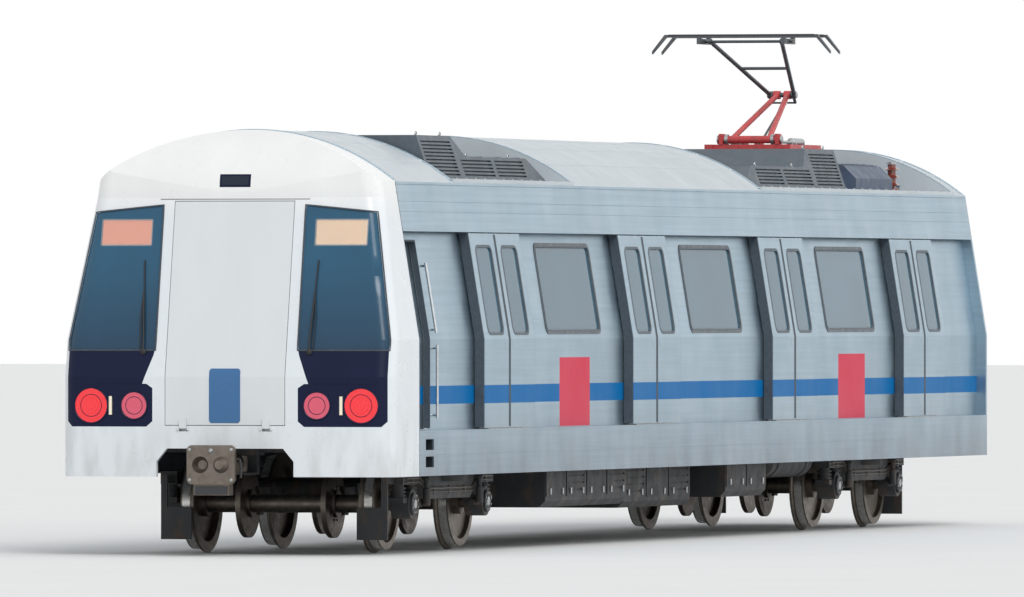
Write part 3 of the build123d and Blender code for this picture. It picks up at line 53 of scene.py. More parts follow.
# Sizes in metres, in the frame of the car: X forward, Y left, Z up
HALF_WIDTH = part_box("sole_bars")[1].y
SKIRT_Z, SOLE_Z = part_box("sole_bars")[0].z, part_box("sole_bars")[1].z
BODY_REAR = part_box("rear_end_wall")[0].x
MASK_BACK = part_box("cab_mask")[0].x
GUTTER_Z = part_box("cantrails")[1].z
FLOOR_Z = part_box("floor")[1].z
ROOF_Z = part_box("roof_shell")[1].z
WAIST_Z = 1.99
LEAN = tan(radians(9.2))                        # the sides lean inward above the waist
WALL_DEPTH = 0.1                                # the walls lie this far inside the outer face of the doors
WALL_IN = 0.155                                 # and their inner faces this far
NOSE = 10.8
CANTRAIL_Z = 2.99
DOOR_FIRST, DOOR_PITCH = 6.94, 5.08
DOORS = [DOOR_FIRST - DOOR_PITCH * index for index in range(4)]
SIDES = (("left", 1), ("right", -1))
LEAF_WIDTH, LEAF_GAP = 0.838, 0.001
LEAF_Z = (1.16, 2.98)
LEAF_GLASS_WIDTH, LEAF_GLASS_Z = 0.52, (2.04, 2.86)
LEAF_PULL_Z = (1.9, 1.965)
SILL_HALF, SILL_Y, SILL_GROOVES = 0.7, (1.445, 1.596), 5
WINDOW_HALF, WINDOW_Z = 0.95, (2.03, 2.90)
CAB_DOOR_X, CAB_DOOR_TOP = (9.25, 9.88), 2.90
CAB_LEAF_DEPTH = 0.161
CAB_GLASS_X, CAB_GLASS_Z = (9.36, 9.77), (2.06, 2.76)
CAB_PULL_X, CAB_PULL_Z = (9.74, 9.80), (1.86, 1.98)
FOOTHOLD_X, FOOTHOLDS = (9.435, 9.695), ((0.81, 0.91), (0.97, 1.07))
SIDE_BEADS = [                                  # height, half its height, how proud
    (GUTTER_Z - 0.012, 0.012, 0.010),
    (3.275, 0.007, 0.005),
    (3.18, 0.007, 0.005),
    (CANTRAIL_Z + 0.008, 0.008, 0.006),
    (SOLE_Z - 0.01, 0.008, 0.004),
    (SKIRT_Z + 0.01, 0.010, 0.005),
    (0.93, 0.006, 0.003),
]

# Cab front: corners of the windscreens as (y, z), the lamps, and the wipers
SCREEN = [(0.684, 3.232), (0.684, 1.893), (1.546, 1.893), (1.546, 1.99), (1.357, 3.166)]
DISPLAY_Y, DISPLAY_Z = (0.79, 1.28), (2.861, 3.096)
LAMP_Z = 1.385
TAIL_Y, TAIL_RADIUS = 1.30, 0.165
HEAD_Y, HEAD_RADIUS = 0.88, 0.13
STRIP_Y, STRIP_HALF = 1.11, 0.085
DOME_SEAM_Z, DOME_SEAM_HALF = 3.285, 0.72
DOME_LAMP_Z, DOME_LAMP_HALF = (3.413, 3.497), 0.13
PLATE_Z, PLATE_HALF = (1.225, 1.725), 0.15
WIPER_Y, WIPER_Z = 0.80, 1.88
WIPER_RODS = [                                  # path of (y, z, how proud), radius, sides
    ([(WIPER_Y, WIPER_Z, 0.02), (WIPER_Y, 1.98, 0.024), (0.812, 2.2, 0.03), (0.824, 2.42, 0.026)], 0.009, 8),
    ([(WIPER_Y, 2.02, 0.014), (0.812, 2.2, 0.014), (0.824, 2.42, 0.014), (0.838, 2.72, 0.014)], 0.007, 6),
    ([(0.83, WIPER_Z, 0.014), (0.842, 2.2, 0.022), (0.826, 2.4, 0.022)], 0.005, 6),
]

# Roof
ROOF_EDGE = HALF_WIDTH - (GUTTER_Z - WAIST_Z) * LEAN
ROOF_RADIUS = (ROOF_EDGE ** 2 + (ROOF_Z - GUTTER_Z) ** 2) / (2 * (ROOF_Z - GUTTER_Z))
ROOF_BEAD_PITCH, STRAP_HALF = 0.35, 1.34
WELLS = [(-10.42, -2.83), (3.96, 7.98)]
HIGH_ROOFS = [(BODY_REAR + 0.05, WELLS[0][0]), (WELLS[0][1], WELLS[1][0]), (WELLS[1][1], MASK_BACK)]
WELL_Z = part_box("roof_wells")[1].z
UNITS = [(7.92, 4.02), (-7.0, -3.1)]            # raised end and low end
UNIT_TOP, UNIT_LOW_Z = 3.90, 3.71
UNIT_HALF, UNIT_LEAN, UNIT_RAISED = 1.11, 0.34, 1.11
FAN_RADIUS, FAN_BLADES, HUB_RADIUS = 0.38, 7, 0.05
BLADE = [                                       # outline as (radius, turn, lift)
    (0.13, -0.33, 0.0), (0.13, 0.0, 0.012), (0.13, 0.33, 0.0),
    (0.355, 0.39, 0.0), (0.355, 0.18, 0.012), (0.355, -0.03, 0.0),
]
GEAR_CASES = [                                  # ends along x, right and left edge, height
    (-8.90, -7.45, 0.64, 1.09, 3.74),
    (-8.60, -7.45, -1.09, -0.64, 3.70),
    (-10.20, -9.35, 0.06, 0.70, 3.76),
    (-10.20, -9.35, -0.70, -0.06, 3.76),
]
CABLE_DUCTS = [(-9.3, -6.9, -1.17), (-10.3, -9.4, 0.77)]
POSTS = [(x, y, WELL_Z, 3.90) for x in (-8.34, -7.26) for y in (-0.42, 0.42)]
POSTS += [(-8.95, -0.42, 3.70, 3.90), (-9.60, 0.90, WELL_Z, 3.80)]
PAN_PIVOT = (-7.30, 4.01)
PIVOTS = {joint["name"]: joint.get("pos_m") for joint in frame["record"]["behaviour"]["joints"]}
KNEE = (PIVOTS["pantograph_knee"][0], PIVOTS["pantograph_knee"][2])
HEAD = (PIVOTS["pantograph_head"][0], PIVOTS["pantograph_head"][2])
CONTACT_STRIP = [                               # (y, height)
    (-0.79, 0.008), (-0.77, 0.019), (-0.4, 0.019), (0, 0.0185), (0.4, 0.019), (0.77, 0.019), (0.79, 0.008),
]
PAN_CYLINDER = [                                # profile as (x, radius)
    (-8.22, 0.02), (-8.21, 0.038), (-8.19, 0.045), (-7.80, 0.045), (-7.785, 0.038), (-7.78, 0.016),
    (-7.46, 0.016), (-7.45, 0.012),
]
PAN_CYLINDER_Y, PAN_CYLINDER_Z = 0.3, 3.985

# Running gear, couplers and what hangs below the floor
BOGIE_X, WHEELBASE, AXLE_Z = 7.55, 2.4, 0.46
AXLES = [bogie + half for bogie in (BOGIE_X, -BOGIE_X) for half in (WHEELBASE / 2, -WHEELBASE / 2)]
BEAM_Y, FLANGE_BACK, WHEEL_RADIUS = 1.10, 0.803, 0.43
DISC_FACE = 0.44
BRAKE_PIPE = [                                  # (distance from the middle of the bogie, z)
    (-1.40, 0.70), (-0.98, 0.70), (-0.74, 0.60), (0.74, 0.60), (0.98, 0.70), (1.40, 0.70),
]
DAMPER = [                                      # profile as (z, radius)
    (0.44, 0.012), (0.45, 0.036), (0.60, 0.036), (0.605, 0.024), (0.70, 0.024), (0.71, 0.012),
]
COUPLER_Z, PLATE_X = 0.845, 11.23
SHANK_FLANGE_X, REAR_FLANGE_X = 10.488, -11.24
UNCOUPLING_X = 11.08
UNCOUPLING_LEVER = [(0.19, 0.05), (0.235, 0.05), (0.245, -0.02), (0.245, -0.12)]
HUNG_CASES = [                                  # ends along x, right and left face, underside, covers
    (-0.9, 1.5, -1.15, 1.15, 0.33, 3),
    (2.1, 4.9, -1.35, 1.35, 0.38, 4),
    (-3.0, -1.5, 0.30, 1.35, 0.40, 2),
    (-3.0, -1.5, -1.35, -0.30, 0.40, 2),
    (-4.9, -3.4, -0.5, 0.5, 0.45, 2),
]
HINGE_Z = 0.89
COOLING_PIPES, COOLING_Z = ((-3.41, -0.89), (1.49, 2.11)), 0.72
AIR_PIPE = [(-4.05, 0.74), (-3.92, 0.74), (-3.875, 0.755), (-3.86, 0.80), (-3.86, 1.10)]
CONDUIT_HALF, CONDUIT_Y, CONDUIT_Z = 5.9, 1.385, 0.941
GANGWAY_HALF, GANGWAY_Z = 0.62, 3.12

# Saloon and cab
CEILING_LAMPS = ((-10.4, -8.4), (-8.2, -3.3), (-3.1, 1.8), (2.0, 6.8), (7.0, 8.4))
CEILING_LAMP_Y, CEILING_LAMP_Z = (0.52, 0.72), (3.272, 3.289)
VENT_ENDS, VENT_PITCH, VENT_HALF = (-10.0, 8.0), 1.2, 0.3
STRAP_ENDS, STRAP_PITCH = (-10.2, 8.2), 0.46
STRAP_Y, STRAP_Z = 0.64, (2.88, 3.07)
DRAUGHT_SCREEN = [(1.0, 1.75), (1.44, 1.75), (1.44, WAIST_Z), (1.343, 2.6), (1.03, 2.6), (1.0, 2.57)]
DESK_EDGE, DESK_Z, DESK_SLOPE = 9.95, 1.9, 0.15
BUTTON_X, BUTTON_Y = [10.03 + 0.09 * row for row in range(3)], [0.74 + 0.065 * column for column in range(8)]
SEAT = (9.475, -0.905)
SEAT_POST = [                                   # profile as (z, radius)
    (FLOOR_Z, 0.2), (FLOOR_Z + 0.015, 0.195), (FLOOR_Z + 0.02, 0.06),
    (1.40, 0.055), (1.41, 0.08), (1.55, 0.08),
]
SEAT_PAN = ((9.30, 9.66), (-1.08, -0.73), (1.545, 1.575))
SEAT_SPINE = ((9.225, 9.245), (-0.95, -0.86), (1.55, 2.1))
CUSHION = ((9.275, 9.70), (-1.13, -0.68), (1.575, 1.665))
BACKREST = ((9.205, 9.285), (-1.13, -0.68), (1.665, 2.26))
MONITORS, MONITOR_HALF = (0.78, 1.02, 1.24), 0.09
MONITOR_FACE, MONITOR_SCREEN = ((10.33, 1.955), (10.40, 2.13)), ((10.336, 1.975), (10.392, 2.115))
LEVER_X, LEVER_Y = 10.06, -1.16

# View, as the photograph shows the car from ahead and to its left
AIM = Vector((6.87, 1.6, 2.37))
VIEW_TURN = radians(16.35)
VIEW_DISTANCE = 145.8
CAMERA_Z = 2.35
FOCAL = 545                                     # millimetres on a 36 mm frame


def about(middle, half):
    """Range of a half width about a middle."""
    return (middle - half, middle + half)


def grown(limits, by):
    """Range with a margin added at both ends."""
    return (limits[0] - by, limits[1] + by)


def reach(way, near, far, start=0.0):
    """Range between two distances from a start, towards way, in rising order."""
    return sorted((start + way * near, start + way * far))


def span(start, stop, step):
    """Evenly spaced values from start to stop, about step apart."""
    count = max(1, round(abs(stop - start) / step))
    return [start + (stop - start) * index / count for index in range(count + 1)]


def circle(radius, count, first=0.0):
    """Evenly spaced points of a circle, from an angle in degrees."""
    turns = [radians(first) + 2 * pi * step / count for step in range(count)]
    return [(radius * cos(turn), radius * sin(turn)) for turn in turns]


def placed(axis, along, u, v):
    """Point at a distance along one axis, with u and v along the two others in their order."""
    point = [u, v]
    point.insert("xyz".index(axis), along)
    return Vector(point)


def linear(red, green, blue):
    """Shader colour from 0 to 255 screen values."""
    def channel(value):
        value /= 255
        return value / 12.92 if value <= 0.04045 else ((value + 0.055) / 1.055) ** 2.4
    return (channel(red), channel(green), channel(blue), 1.0)


def feed(tree, value, socket):
    """Link a socket to another node's output, or set it to a constant."""
    if isinstance(value, bpy.types.NodeSocket):
        tree.links.new(value, socket)
    else:
        socket.default_value = value


def add_node(tree, kind, values=None, **settings):
    """Node with its settings made and its inputs fed, by their names or numbers."""
    node = tree.nodes.new(kind)
    for name, value in settings.items():
        setattr(node, name, value)
    for key, value in (values or {}).items():
        feed(tree, value, node.inputs[key])
    return node


class Shader:
    """Material of one Principled shader whose texture follows the car's own coordinates."""

    def __init__(self, name, colour, roughness, metallic=0.0, **fixed):
        self.material = bpy.data.materials.new(name)
        self.material.use_nodes = True
        self.tree = self.material.node_tree
        self.inputs = self.tree.nodes["Principled BSDF"].inputs
        self.set(Roughness=roughness, Metallic=metallic, **fixed)
        self.place = self.node("ShaderNodeTexCoord").outputs["Object"]
        self.x, self.y, self.z = self.node("ShaderNodeSeparateXYZ", {0: self.place}).outputs
        self.colour = self.node("ShaderNodeRGB").outputs[0]
        self.colour.default_value = linear(*colour)
        self.height = None

    def node(self, kind, values=None, **settings):
        return add_node(self.tree, kind, values, **settings)

    def set(self, **values):
        """Feed inputs of the Principled shader, named with an underscore for each space."""
        for name, value in values.items():
            feed(self.tree, value, self.inputs[name.replace("_", " ")])

    def math(self, operation, first, second=0.0):
        return self.node("ShaderNodeMath", {0: first, 1: second}, operation=operation).outputs[0]

    def times(self, first, second):
        return self.math("MULTIPLY", first, second)

    def noise(self, scale, stretch=(1, 1, 1), detail=3.0):
        """Noise of about scale spots a metre, drawn out along the axes with a small stretch."""
        mapping = self.node("ShaderNodeMapping", {"Vector": self.place, "Scale": stretch})
        spots = {"Vector": mapping.outputs[0], "Scale": scale, "Detail": detail}
        return self.node("ShaderNodeTexNoise", spots).outputs["Fac"]

    def studs(self, pitch):
        """Rows of bumps across the car and up it, from -1 to 1."""
        waves = [self.math("SINE", self.times(axis, 2 * pi / pitch)) for axis in (self.y, self.z)]
        return self.times(*waves)

    def spread(self, value, low, high, out=(0.0, 1.0)):
        """Value from low to high, spread over out and held there."""
        limits = {"Value": value, "From Min": low, "From Max": high, "To Min": out[0], "To Max": out[1]}
        return self.node("ShaderNodeMapRange", limits).outputs[0]

    def band(self, value, low, high, soft=0.001):
        """One between low and high, nought outside."""
        rise = self.spread(value, *about(low, soft))
        fall = self.spread(value, *about(high, soft), (1.0, 0.0))
        return self.times(rise, fall)

    def mix(self, second, share, blend="MIX"):
        """Mix a colour or a grey socket into what is there."""
        values = {"Factor": share, "A": self.colour, "B": second}
        mixed = self.node("ShaderNodeMix", values, data_type="RGBA", blend_type=blend)
        self.colour = mixed.outputs["Result"]

    def tint(self, colour, share):
        """Mix a colour over what is there, by a number or a socket."""
        self.mix(linear(*colour), share)

    def shade(self, amount, scale, stretch=(1, 1, 1)):
        """Lighten and darken the colour by up to amount, in spots."""
        self.mix(self.spread(self.noise(scale, stretch), 0.3, 0.7, about(1, amount)), 1.0, "MULTIPLY")

    def roughen(self, low, high, scale, stretch=(1, 1, 1)):
        """Vary the roughness from low to high, in spots."""
        self.set(Roughness=self.spread(self.noise(scale, stretch), 0.3, 0.7, (low, high)))

    def raised(self, height, distance):
        """Bump of a height from nought to one, over a distance in metres."""
        values = {"Distance": distance, "Height": height}
        if self.height:
            values["Normal"] = self.height
        self.height = self.node("ShaderNodeBump", values).outputs["Normal"]

    def depth(self):
        """Depth inside the outer face of the doors."""
        rise = self.math("MAXIMUM", self.math("SUBTRACT", self.z, WAIST_Z))
        across = self.math("ADD", self.math("ABSOLUTE", self.y), self.times(rise, LEAN))
        return self.math("SUBTRACT", HALF_WIDTH, across)

    def done(self):
        """Material with its colour and bumps linked."""
        self.set(Base_Color=self.colour)
        if self.height:
            self.set(Normal=self.height)
        return self.material


# Colours on the screen, 0 to 255
STEEL = (158, 179, 192)
LINING = (205, 206, 203)
STRIPE_BLUE = (10, 106, 168)
PANEL_RED = (212, 66, 88)
WHITE = (238, 238, 236)
DOOR_GREY = (214, 218, 220)
ROOF_GREY = (188, 196, 200)
DARK_GREY = (84, 94, 102)
GLASS_BLUE = (46, 98, 128)
# grey mixed into brushed steel in patches, darker towards the skirt
LOW_DOWN_GREY = (122, 122, 130)

STRIPE = (1.39, 1.56)
RED_PANEL = (1.155, 1.81)
RED_PANEL_HALF = 0.52
RED_PANELS = [(DOORS[index] + DOORS[index + 1]) / 2 for index in (0, 2)]


def brushed(name, colour, roughness, along=(1, 60, 60)):
    """Stainless sheet, brushed along one axis, with painted reflections in slow upright streaks, and darker
    in patches towards the skirt.
    """
    steel = Shader(name, colour, roughness, 1.0, Specular_IOR_Level=0.03)
    steel.shade(0.06, 0.5, along)
    # painted reflections: slow light and dark streaks drawn out upright
    steel.shade(0.05, 1.2, (1, 0.5, 0.15))
    # darker grey in patches below the stripe, towards the skirt
    low_down = steel.spread(steel.z, 1.4, 0.8, (0.0, 0.6))
    patches = steel.spread(steel.noise(3, (1, 1, 0.3), 5), 0.3, 0.65, (0.4, 1.0))
    steel.tint(LOW_DOWN_GREY, steel.times(low_down, patches))
    steel.roughen(roughness - 0.06, roughness + 0.08, 2.0)
    steel.raised(steel.noise(20, along), 0.0004)
    steel.raised(steel.noise(1.5, (1, 1, 0.6)), 0.006)
    return steel


def side_steel(name, face, panels=()):
    """Steel of the side, with blue stripe and red panels on its outer face and lining on its inner one."""
    steel = brushed(name, STEEL, 0.34)
    outer = steel.spread(steel.depth(), face + 0.008, face + 0.02, (1.0, 0.0))
    paint = steel.times(outer, steel.band(steel.z, *STRIPE))
    steel.tint(STRIPE_BLUE, paint)
    for centre in panels:
        along = steel.band(steel.x, *about(centre, RED_PANEL_HALF))
        panel = steel.times(steel.times(outer, along), steel.band(steel.z, *RED_PANEL))
        steel.tint(PANEL_RED, panel)
        paint = steel.math("MAXIMUM", paint, panel)
    inner = steel.math("SUBTRACT", 1.0, outer)
    steel.tint(LINING, inner)
    steel.set(Metallic=steel.math("SUBTRACT", 1.0, steel.math("MAXIMUM", paint, inner)))
    return steel


def gloss(name, colour, roughness=0.3, coat=0.5, wave=0.002, amount=0.025, specular=0.5):
    """Moulded gloss panel with slight waves and dirt."""
    panel = Shader(name, colour, roughness, Coat_Weight=coat, Coat_Roughness=0.08,
                   Specular_IOR_Level=specular)
    panel.shade(amount, 2.5, (1, 1, 0.3))
    panel.roughen(roughness - 0.05, roughness + 0.1, 6)
    panel.raised(panel.noise(1.5, detail=0.0), wave)
    return panel


def lens(name, colour, glow):
    """Lamp lens that glows a little, with small pressed prisms and painted shade in the hollows between them.
    """
    face = Shader(name, colour, 0.12, Coat_Weight=0.3, Emission_Color=linear(*colour), Emission_Strength=glow)
    prisms = face.studs(0.018)
    face.raised(face.spread(prisms, -1.0, 1.0), 0.002)
    # painted shade in the hollows between the prisms
    face.tint([value * 0.8 for value in colour], face.spread(prisms, 0.0, -0.8, (0.0, 0.4)))
    return face


def tube_light():
    """Lit diffuser of a ceiling lamp."""
    diffuser = Shader("tube_light", (236, 238, 234), 0.5, Emission_Color=(1, 0.98, 0.94, 1),
                      Emission_Strength=3.0)
    diffuser.shade(0.02, 3)
    return diffuser


def mask_paint():
    """White of the cab front, with painted shade in a cooler grey below the dome, and darker in patches
    towards the skirt.
    """
    panel = gloss("mask_white", WHITE, coat=0.3, wave=0.001)
    # painted shade: cooler grey below the dome
    panel.tint((204, 215, 224), panel.spread(panel.z, 3.4, 3.1, (0.0, 0.5)))
    # darker grey in patches towards the skirt
    low_down = panel.spread(panel.z, 1.5, 0.85, (0.0, 0.5))
    patches = panel.spread(panel.noise(7, (1, 1, 0.3), 5), 0.42, 0.7)
    panel.tint((176, 178, 176), panel.times(low_down, patches))
    return panel


def paint(name, colour, roughness=0.5, dirt=(92, 84, 74), amount=0.3, scale=8):
    """Worn paint with dirt in patches and a fine orange peel."""
    coat = Shader(name, colour, roughness)
    coat.shade(0.1, scale * 2)
    coat.tint(dirt, coat.spread(coat.noise(scale, (1, 1, 0.5), 6), 0.5, 0.75, (0.0, amount)))
    coat.roughen(roughness - 0.08, roughness + 0.12, scale)
    coat.raised(coat.noise(400), 0.0003)
    return coat


def glass(name, colour, through=0.35, roughness=0.06):
    """Tinted glass, a little wavy."""
    pane = Shader(name, colour, roughness, Transmission_Weight=through, IOR=1.5, Specular_IOR_Level=0.3)
    pane.shade(0.06, 1.5, (1, 1, 0.4))
    pane.raised(pane.noise(0.8, detail=0.0), 0.0004)
    return pane


def windscreen():
    """Blue windscreen, darker towards its foot, and clear before the destination displays."""
    pane = glass("windscreen_glass", GLASS_BLUE, roughness=0.2)
    pane.tint((36, 66, 92), pane.spread(pane.z, 1.9, 2.7, (0.8, 0.0)))
    across = pane.math("ABSOLUTE", pane.y)
    clear = pane.times(pane.band(across, *DISPLAY_Y, 0.01), pane.band(pane.z, *DISPLAY_Z, 0.01))
    pane.tint((250, 250, 250), clear)
    pane.set(Transmission_Weight=pane.spread(clear, 0.0, 1.0, (0.25, 0.97)))
    return pane


def lit_display():
    """Blank display of rows of small lamps, orange on the right of the car and cream on the left."""
    panel = Shader("display", (60, 40, 36), 0.5, Emission_Strength=0.45)
    panel.tint((222, 150, 126), panel.spread(panel.y, -0.1, 0.1, (1.0, 0.0)))
    panel.tint((226, 196, 166), panel.spread(panel.y, -0.1, 0.1))
    panel.tint((96, 60, 50), panel.spread(panel.studs(0.012), 0.1, -0.4, (0.0, 0.25)))
    panel.set(Emission_Color=panel.colour)
    return panel


def rubber(name, colour=(28, 29, 31)):
    """Matt rubber, vinyl or cloth with a fine grain."""
    gum = Shader(name, colour, 0.6)
    gum.shade(0.15, 25)
    gum.raised(gum.noise(300), 0.0003)
    return gum


def metal(name, colour, roughness, amount=0.08):
    """Bare metal, spotted and a little uneven in its shine."""
    bare = Shader(name, colour, roughness, 1.0)
    bare.shade(amount, 20)
    bare.roughen(roughness - 0.08, roughness + 0.12, 15)
    bare.raised(bare.noise(250), 0.0002)
    return bare


SHADERS = {
    "walls": side_steel("side_walls", WALL_DEPTH, RED_PANELS),
    "leaves": side_steel("door_leaves", 0.0),
    "cab_door": side_steel("cab_door_leaf", WALL_IN + 0.006),
    "steel": brushed("stainless", STEEL, 0.34),
    "end_steel": brushed("end_steel", STEEL, 0.34, (60, 1, 60)),
    "mask": mask_paint(),
    "exit": gloss("exit_grey", DOOR_GREY, 0.35),
    "black": gloss("black_panel", (22, 28, 56), 0.3, 0.0, specular=0.15),
    "screen": windscreen(),
    "window": glass("window_glass", (82, 122, 142), 0.35),
    "lamp_red": lens("lamp_red", (236, 44, 54), 0.22),
    # head lamps: the pink tint and faint glow are painted reflection of the lit red tail lamps beside them
    "lamp_clear": lens("lamp_clear", (216, 84, 108), 0.10),
    "display": lit_display(),
    "roof": gloss("roof_paint", ROOF_GREY, 0.45, 0.1, 0.004, 0.05),
    "unit": paint("unit_grey", DARK_GREY),
    "under": paint("under_paint", (48, 50, 53), 0.6, (96, 80, 66), 0.5),
    "bogie": paint("bogie_paint", (58, 60, 62), 0.6, (104, 82, 62), 0.6),
    "wheel": metal("wheel_steel", (120, 112, 104), 0.45, 0.15),
    "rubber": rubber("rubber"),
    "floor": rubber("floor_vinyl", (118, 121, 124)),
    "lining": gloss("lining", LINING, 0.45, 0.1),
    "bench": brushed("bench_steel", (168, 172, 174), 0.4),
    "rail": metal("rail_tube", (200, 203, 205), 0.2),
    "desk": gloss("desk_grey", (62, 65, 69), 0.5, 0.1),
    "cloth": rubber("seat_cloth", (40, 48, 66)),
    "insulator": gloss("insulator_glaze", (126, 56, 44), 0.2, 1.0),
    "pan_red": paint("pan_red", (196, 70, 72), 0.45),
    "pan_alloy": metal("pan_alloy", (96, 100, 104), 0.4),
    "gear": paint("gear_blue", (70, 84, 106), 0.5),
    "seal": rubber("door_seal", (62, 71, 80)),
    "gasket": rubber("window_gasket", (88, 97, 104)),
    "frame": metal("window_frame", (98, 106, 112), 0.4),
    "zinc": metal("zinc", (168, 172, 174), 0.35),
    "tread": metal("bright_tread", (196, 196, 192), 0.28),
    "seam": rubber("seam_filler", (96, 98, 100)),
    "strip_light": gloss("strip_light", (250, 240, 214), 0.3, 0.3),
    "tube_light": tube_light(),
    "smoke": glass("smoked_lens", (26, 40, 58), 0.1),
    "plate": gloss("plate_blue", (54, 104, 152), 0.3, 0.1),
    "carbon": rubber("carbon", (52, 53, 56)),
    "copper": paint("pipe_paint", (92, 86, 80), 0.45),
    "cloth_dark": rubber("coated_cloth", (52, 54, 58)),
}
MAT = {look: shader.done() for look, shader in SHADERS.items()}

# Looks, and how the names of the CAD nodes that have them start
CAD_LOOKS = {
    "under": "underframe underfloor_cases", "floor": "floor", "steel": "sole_bars cantrails",
    "walls": "side_walls", "frame": "window_frames", "window": "side_windows door_glass cab_door_glass",
    "rail": "door_rails grab_rails", "leaves": "door_leaves", "cab_door": "cab_door",
    "roof": "roof_shell roof_wells", "end_steel": "rear_end_wall", "mask": "cab_mask",
    "lining": "ceiling cab_partition partition_door", "rubber": "gangway_bellows air_springs",
    "screen": "windscreens", "black": "windscreen_surrounds lamp_housings", "lamp_red": "tail_lamps",
    "lamp_clear": "head_lamps", "display": "destination_displays", "exit": "emergency_door",
    "desk": "driver_desk", "cloth": "driver_seat", "bench": "bench_seats", "unit": "roof_ac_units",
    "insulator": "pantograph_insulators", "pan_red": "pantograph_base lower_arm",
    "pan_alloy": "upper_arm pan_head coupling_rod", "gear": "roof_equipment",
    "wheel": "front_coupler rear_coupler wheelset", "bogie": "bogie_frame axle_boxes",
}
LOOK_OF = {start: look for look, starts in CAD_LOOKS.items() for start in starts.split()}
for node_name, node in NODES.items():
    longest = max((start for start in LOOK_OF if node_name.startswith(start)), key=len)
    node.data.materials.clear()
    node.data.materials.append(MAT[LOOK_OF[longest]])


def add_object(name, data):
    """Object in the scene's collection."""
    thing = bpy.data.objects.new(name, data)
    bpy.context.scene.collection.objects.link(thing)
    return thing


class Form:
    """Closed shapes gathered into one mesh, which then becomes a piece of the car."""

    def __init__(self, mesh=None):
        self.mesh = bmesh.new() if mesh is None else mesh

    def loft(self, rings, closed=False):
        """Skin over rings of equally many points, with its ends capped, or joined when closed."""
        rows = [[self.mesh.verts.new(point) for point in ring] for ring in rings]
        for first, second in zip(rows, rows[1:] + rows[:1] if closed else rows[1:]):
            for index in range(len(first)):
                after = (index + 1) % len(first)
                self.mesh.faces.new((first[index], first[after], second[after], second[index]))
        if not closed:
            self.mesh.faces.new(list(reversed(rows[0])))
            self.mesh.faces.new(rows[-1])

    def extrude(self, points, axis, along):
        """Prism along an axis of an outline in the two others, in their order."""
        self.loft([[placed(axis, end, u, v) for u, v in points] for end in along])

    def block(self, x, y, z):
        self.extrude([(y[0], z[0]), (y[1], z[0]), (y[1], z[1]), (y[0], z[1])], "x", x)

    def leaning_slab(self, face, y, deep, rise):
        """Slab behind a face that leans from one (x, z) point to another."""
        self.loft([[(x, y[0], z), (x, y[1], z), (x + deep, y[1], z + rise), (x + deep, y[0], z + rise)]
                   for x, z in face])

    def side_strip(self, x, z, depth, side):
        """Strip along the side of the car between two depths."""
        heights = [z[0], WAIST_Z, z[1]] if z[0] < WAIST_Z < z[1] else list(z)
        points = [(side * side_y(height, depth[0]), height) for height in heights]
        points += [(side * side_y(height, depth[1]), height) for height in reversed(heights)]
        self.extrude(points, "x", x)

    def side_ring(self, x, z, radius, width, depth, side):
        """Flat ring round a window in the side of the car, width inward from its outer edge."""
        outer = rounded(x, z, radius)
        inner = rounded(grown(x, -width), grown(z, -width), max(radius - width, 0.004))
        self.loft([[(at[0], side * side_y(at[1], deep), at[1])
                    for at, deep in ((a, depth[0]), (b, depth[0]), (b, depth[1]), (a, depth[1]))]
                   for a, b in zip(outer, inner)], closed=True)

    def tube(self, path, radius, sides=10, closed=False):
        """Round tube along a path of points, its ends flat."""
        path = [Vector(point) for point in path]
        count = len(path)
        up = None
        rings = []
        for index, point in enumerate(path):
            before = path[index - 1] if closed or index else point
            after = path[(index + 1) % count] if closed or index < count - 1 else point
            along = (after - before).normalized()
            if up is None:
                up = along.orthogonal().normalized()
            up = (up - along * up.dot(along)).normalized()
            across = along.cross(up)
            rings.append([point + up * u + across * v for u, v in circle(radius, sides)])
        self.loft(rings, closed)

    def lathe(self, profile, centre, axis, segments=32, closed=False):
        """Turned shape of (distance along the axis, radius) points about an axis through centre."""
        self.loft([[Vector(centre) + placed(axis, along, u, v) for u, v in circle(radius, segments)]
                   for along, radius in profile], closed)

    def ring(self, centre, axis, radius, thick, segments=48, sides=8):
        """Ring of round wire about an axis through centre."""
        wire = [Vector(centre) + placed(axis, 0, u, v) for u, v in circle(radius, segments)]
        self.tube(wire, thick, sides, True)

    def bolts(self, profile, centre, axis, radius, count, first=0.0):
        """Hexagon bolts on a circle about an axis through centre."""
        for u, v in circle(radius, count, first):
            self.lathe(profile, Vector(centre) + placed(axis, 0, u, v), axis, 6)

    def piece(self, name, look, body="car_body", bevel=0.0, sharp=35):
        """Make the piece, give it its finish and fasten it to a body."""
        bmesh.ops.recalc_face_normals(self.mesh, faces=self.mesh.faces)
        mesh = bpy.data.meshes.new(name)
        self.mesh.to_mesh(mesh)
        self.mesh.free()
        mesh.polygons.foreach_set("use_smooth", [True] * len(mesh.polygons))
        mesh.set_sharp_from_angle(angle=radians(sharp))
        mesh.materials.append(MAT[look])
        piece = add_object(name, mesh)
        if bevel:
            edge = piece.modifiers.new("edges", "BEVEL")
            edge.width = bevel
            edge.segments = 2
            edge.limit_method = "ANGLE"
            edge.angle_limit = radians(sharp)
            edge.harden_normals = True
        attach(piece, body)
        return piece


def side_y(z, depth=0.0):
    """Half width of the car at a height, so far inside the outer face of the doors."""
    return HALF_WIDTH - depth - max(0.0, z - WAIST_Z) * LEAN


def rounded(x, z, radius, steps=6):
    """Points of a rounded rectangle."""
    points = []
    for across, up, start in ((x[1] - radius, z[1] - radius, 0), (x[0] + radius, z[1] - radius, 90),
                              (x[0] + radius, z[0] + radius, 180), (x[1] - radius, z[0] + radius, 270)):
        for step in range(steps + 1):
            turn = radians(start + 90 * step / steps)
            points.append((across + radius * cos(turn), up + radius * sin(turn)))
    return points


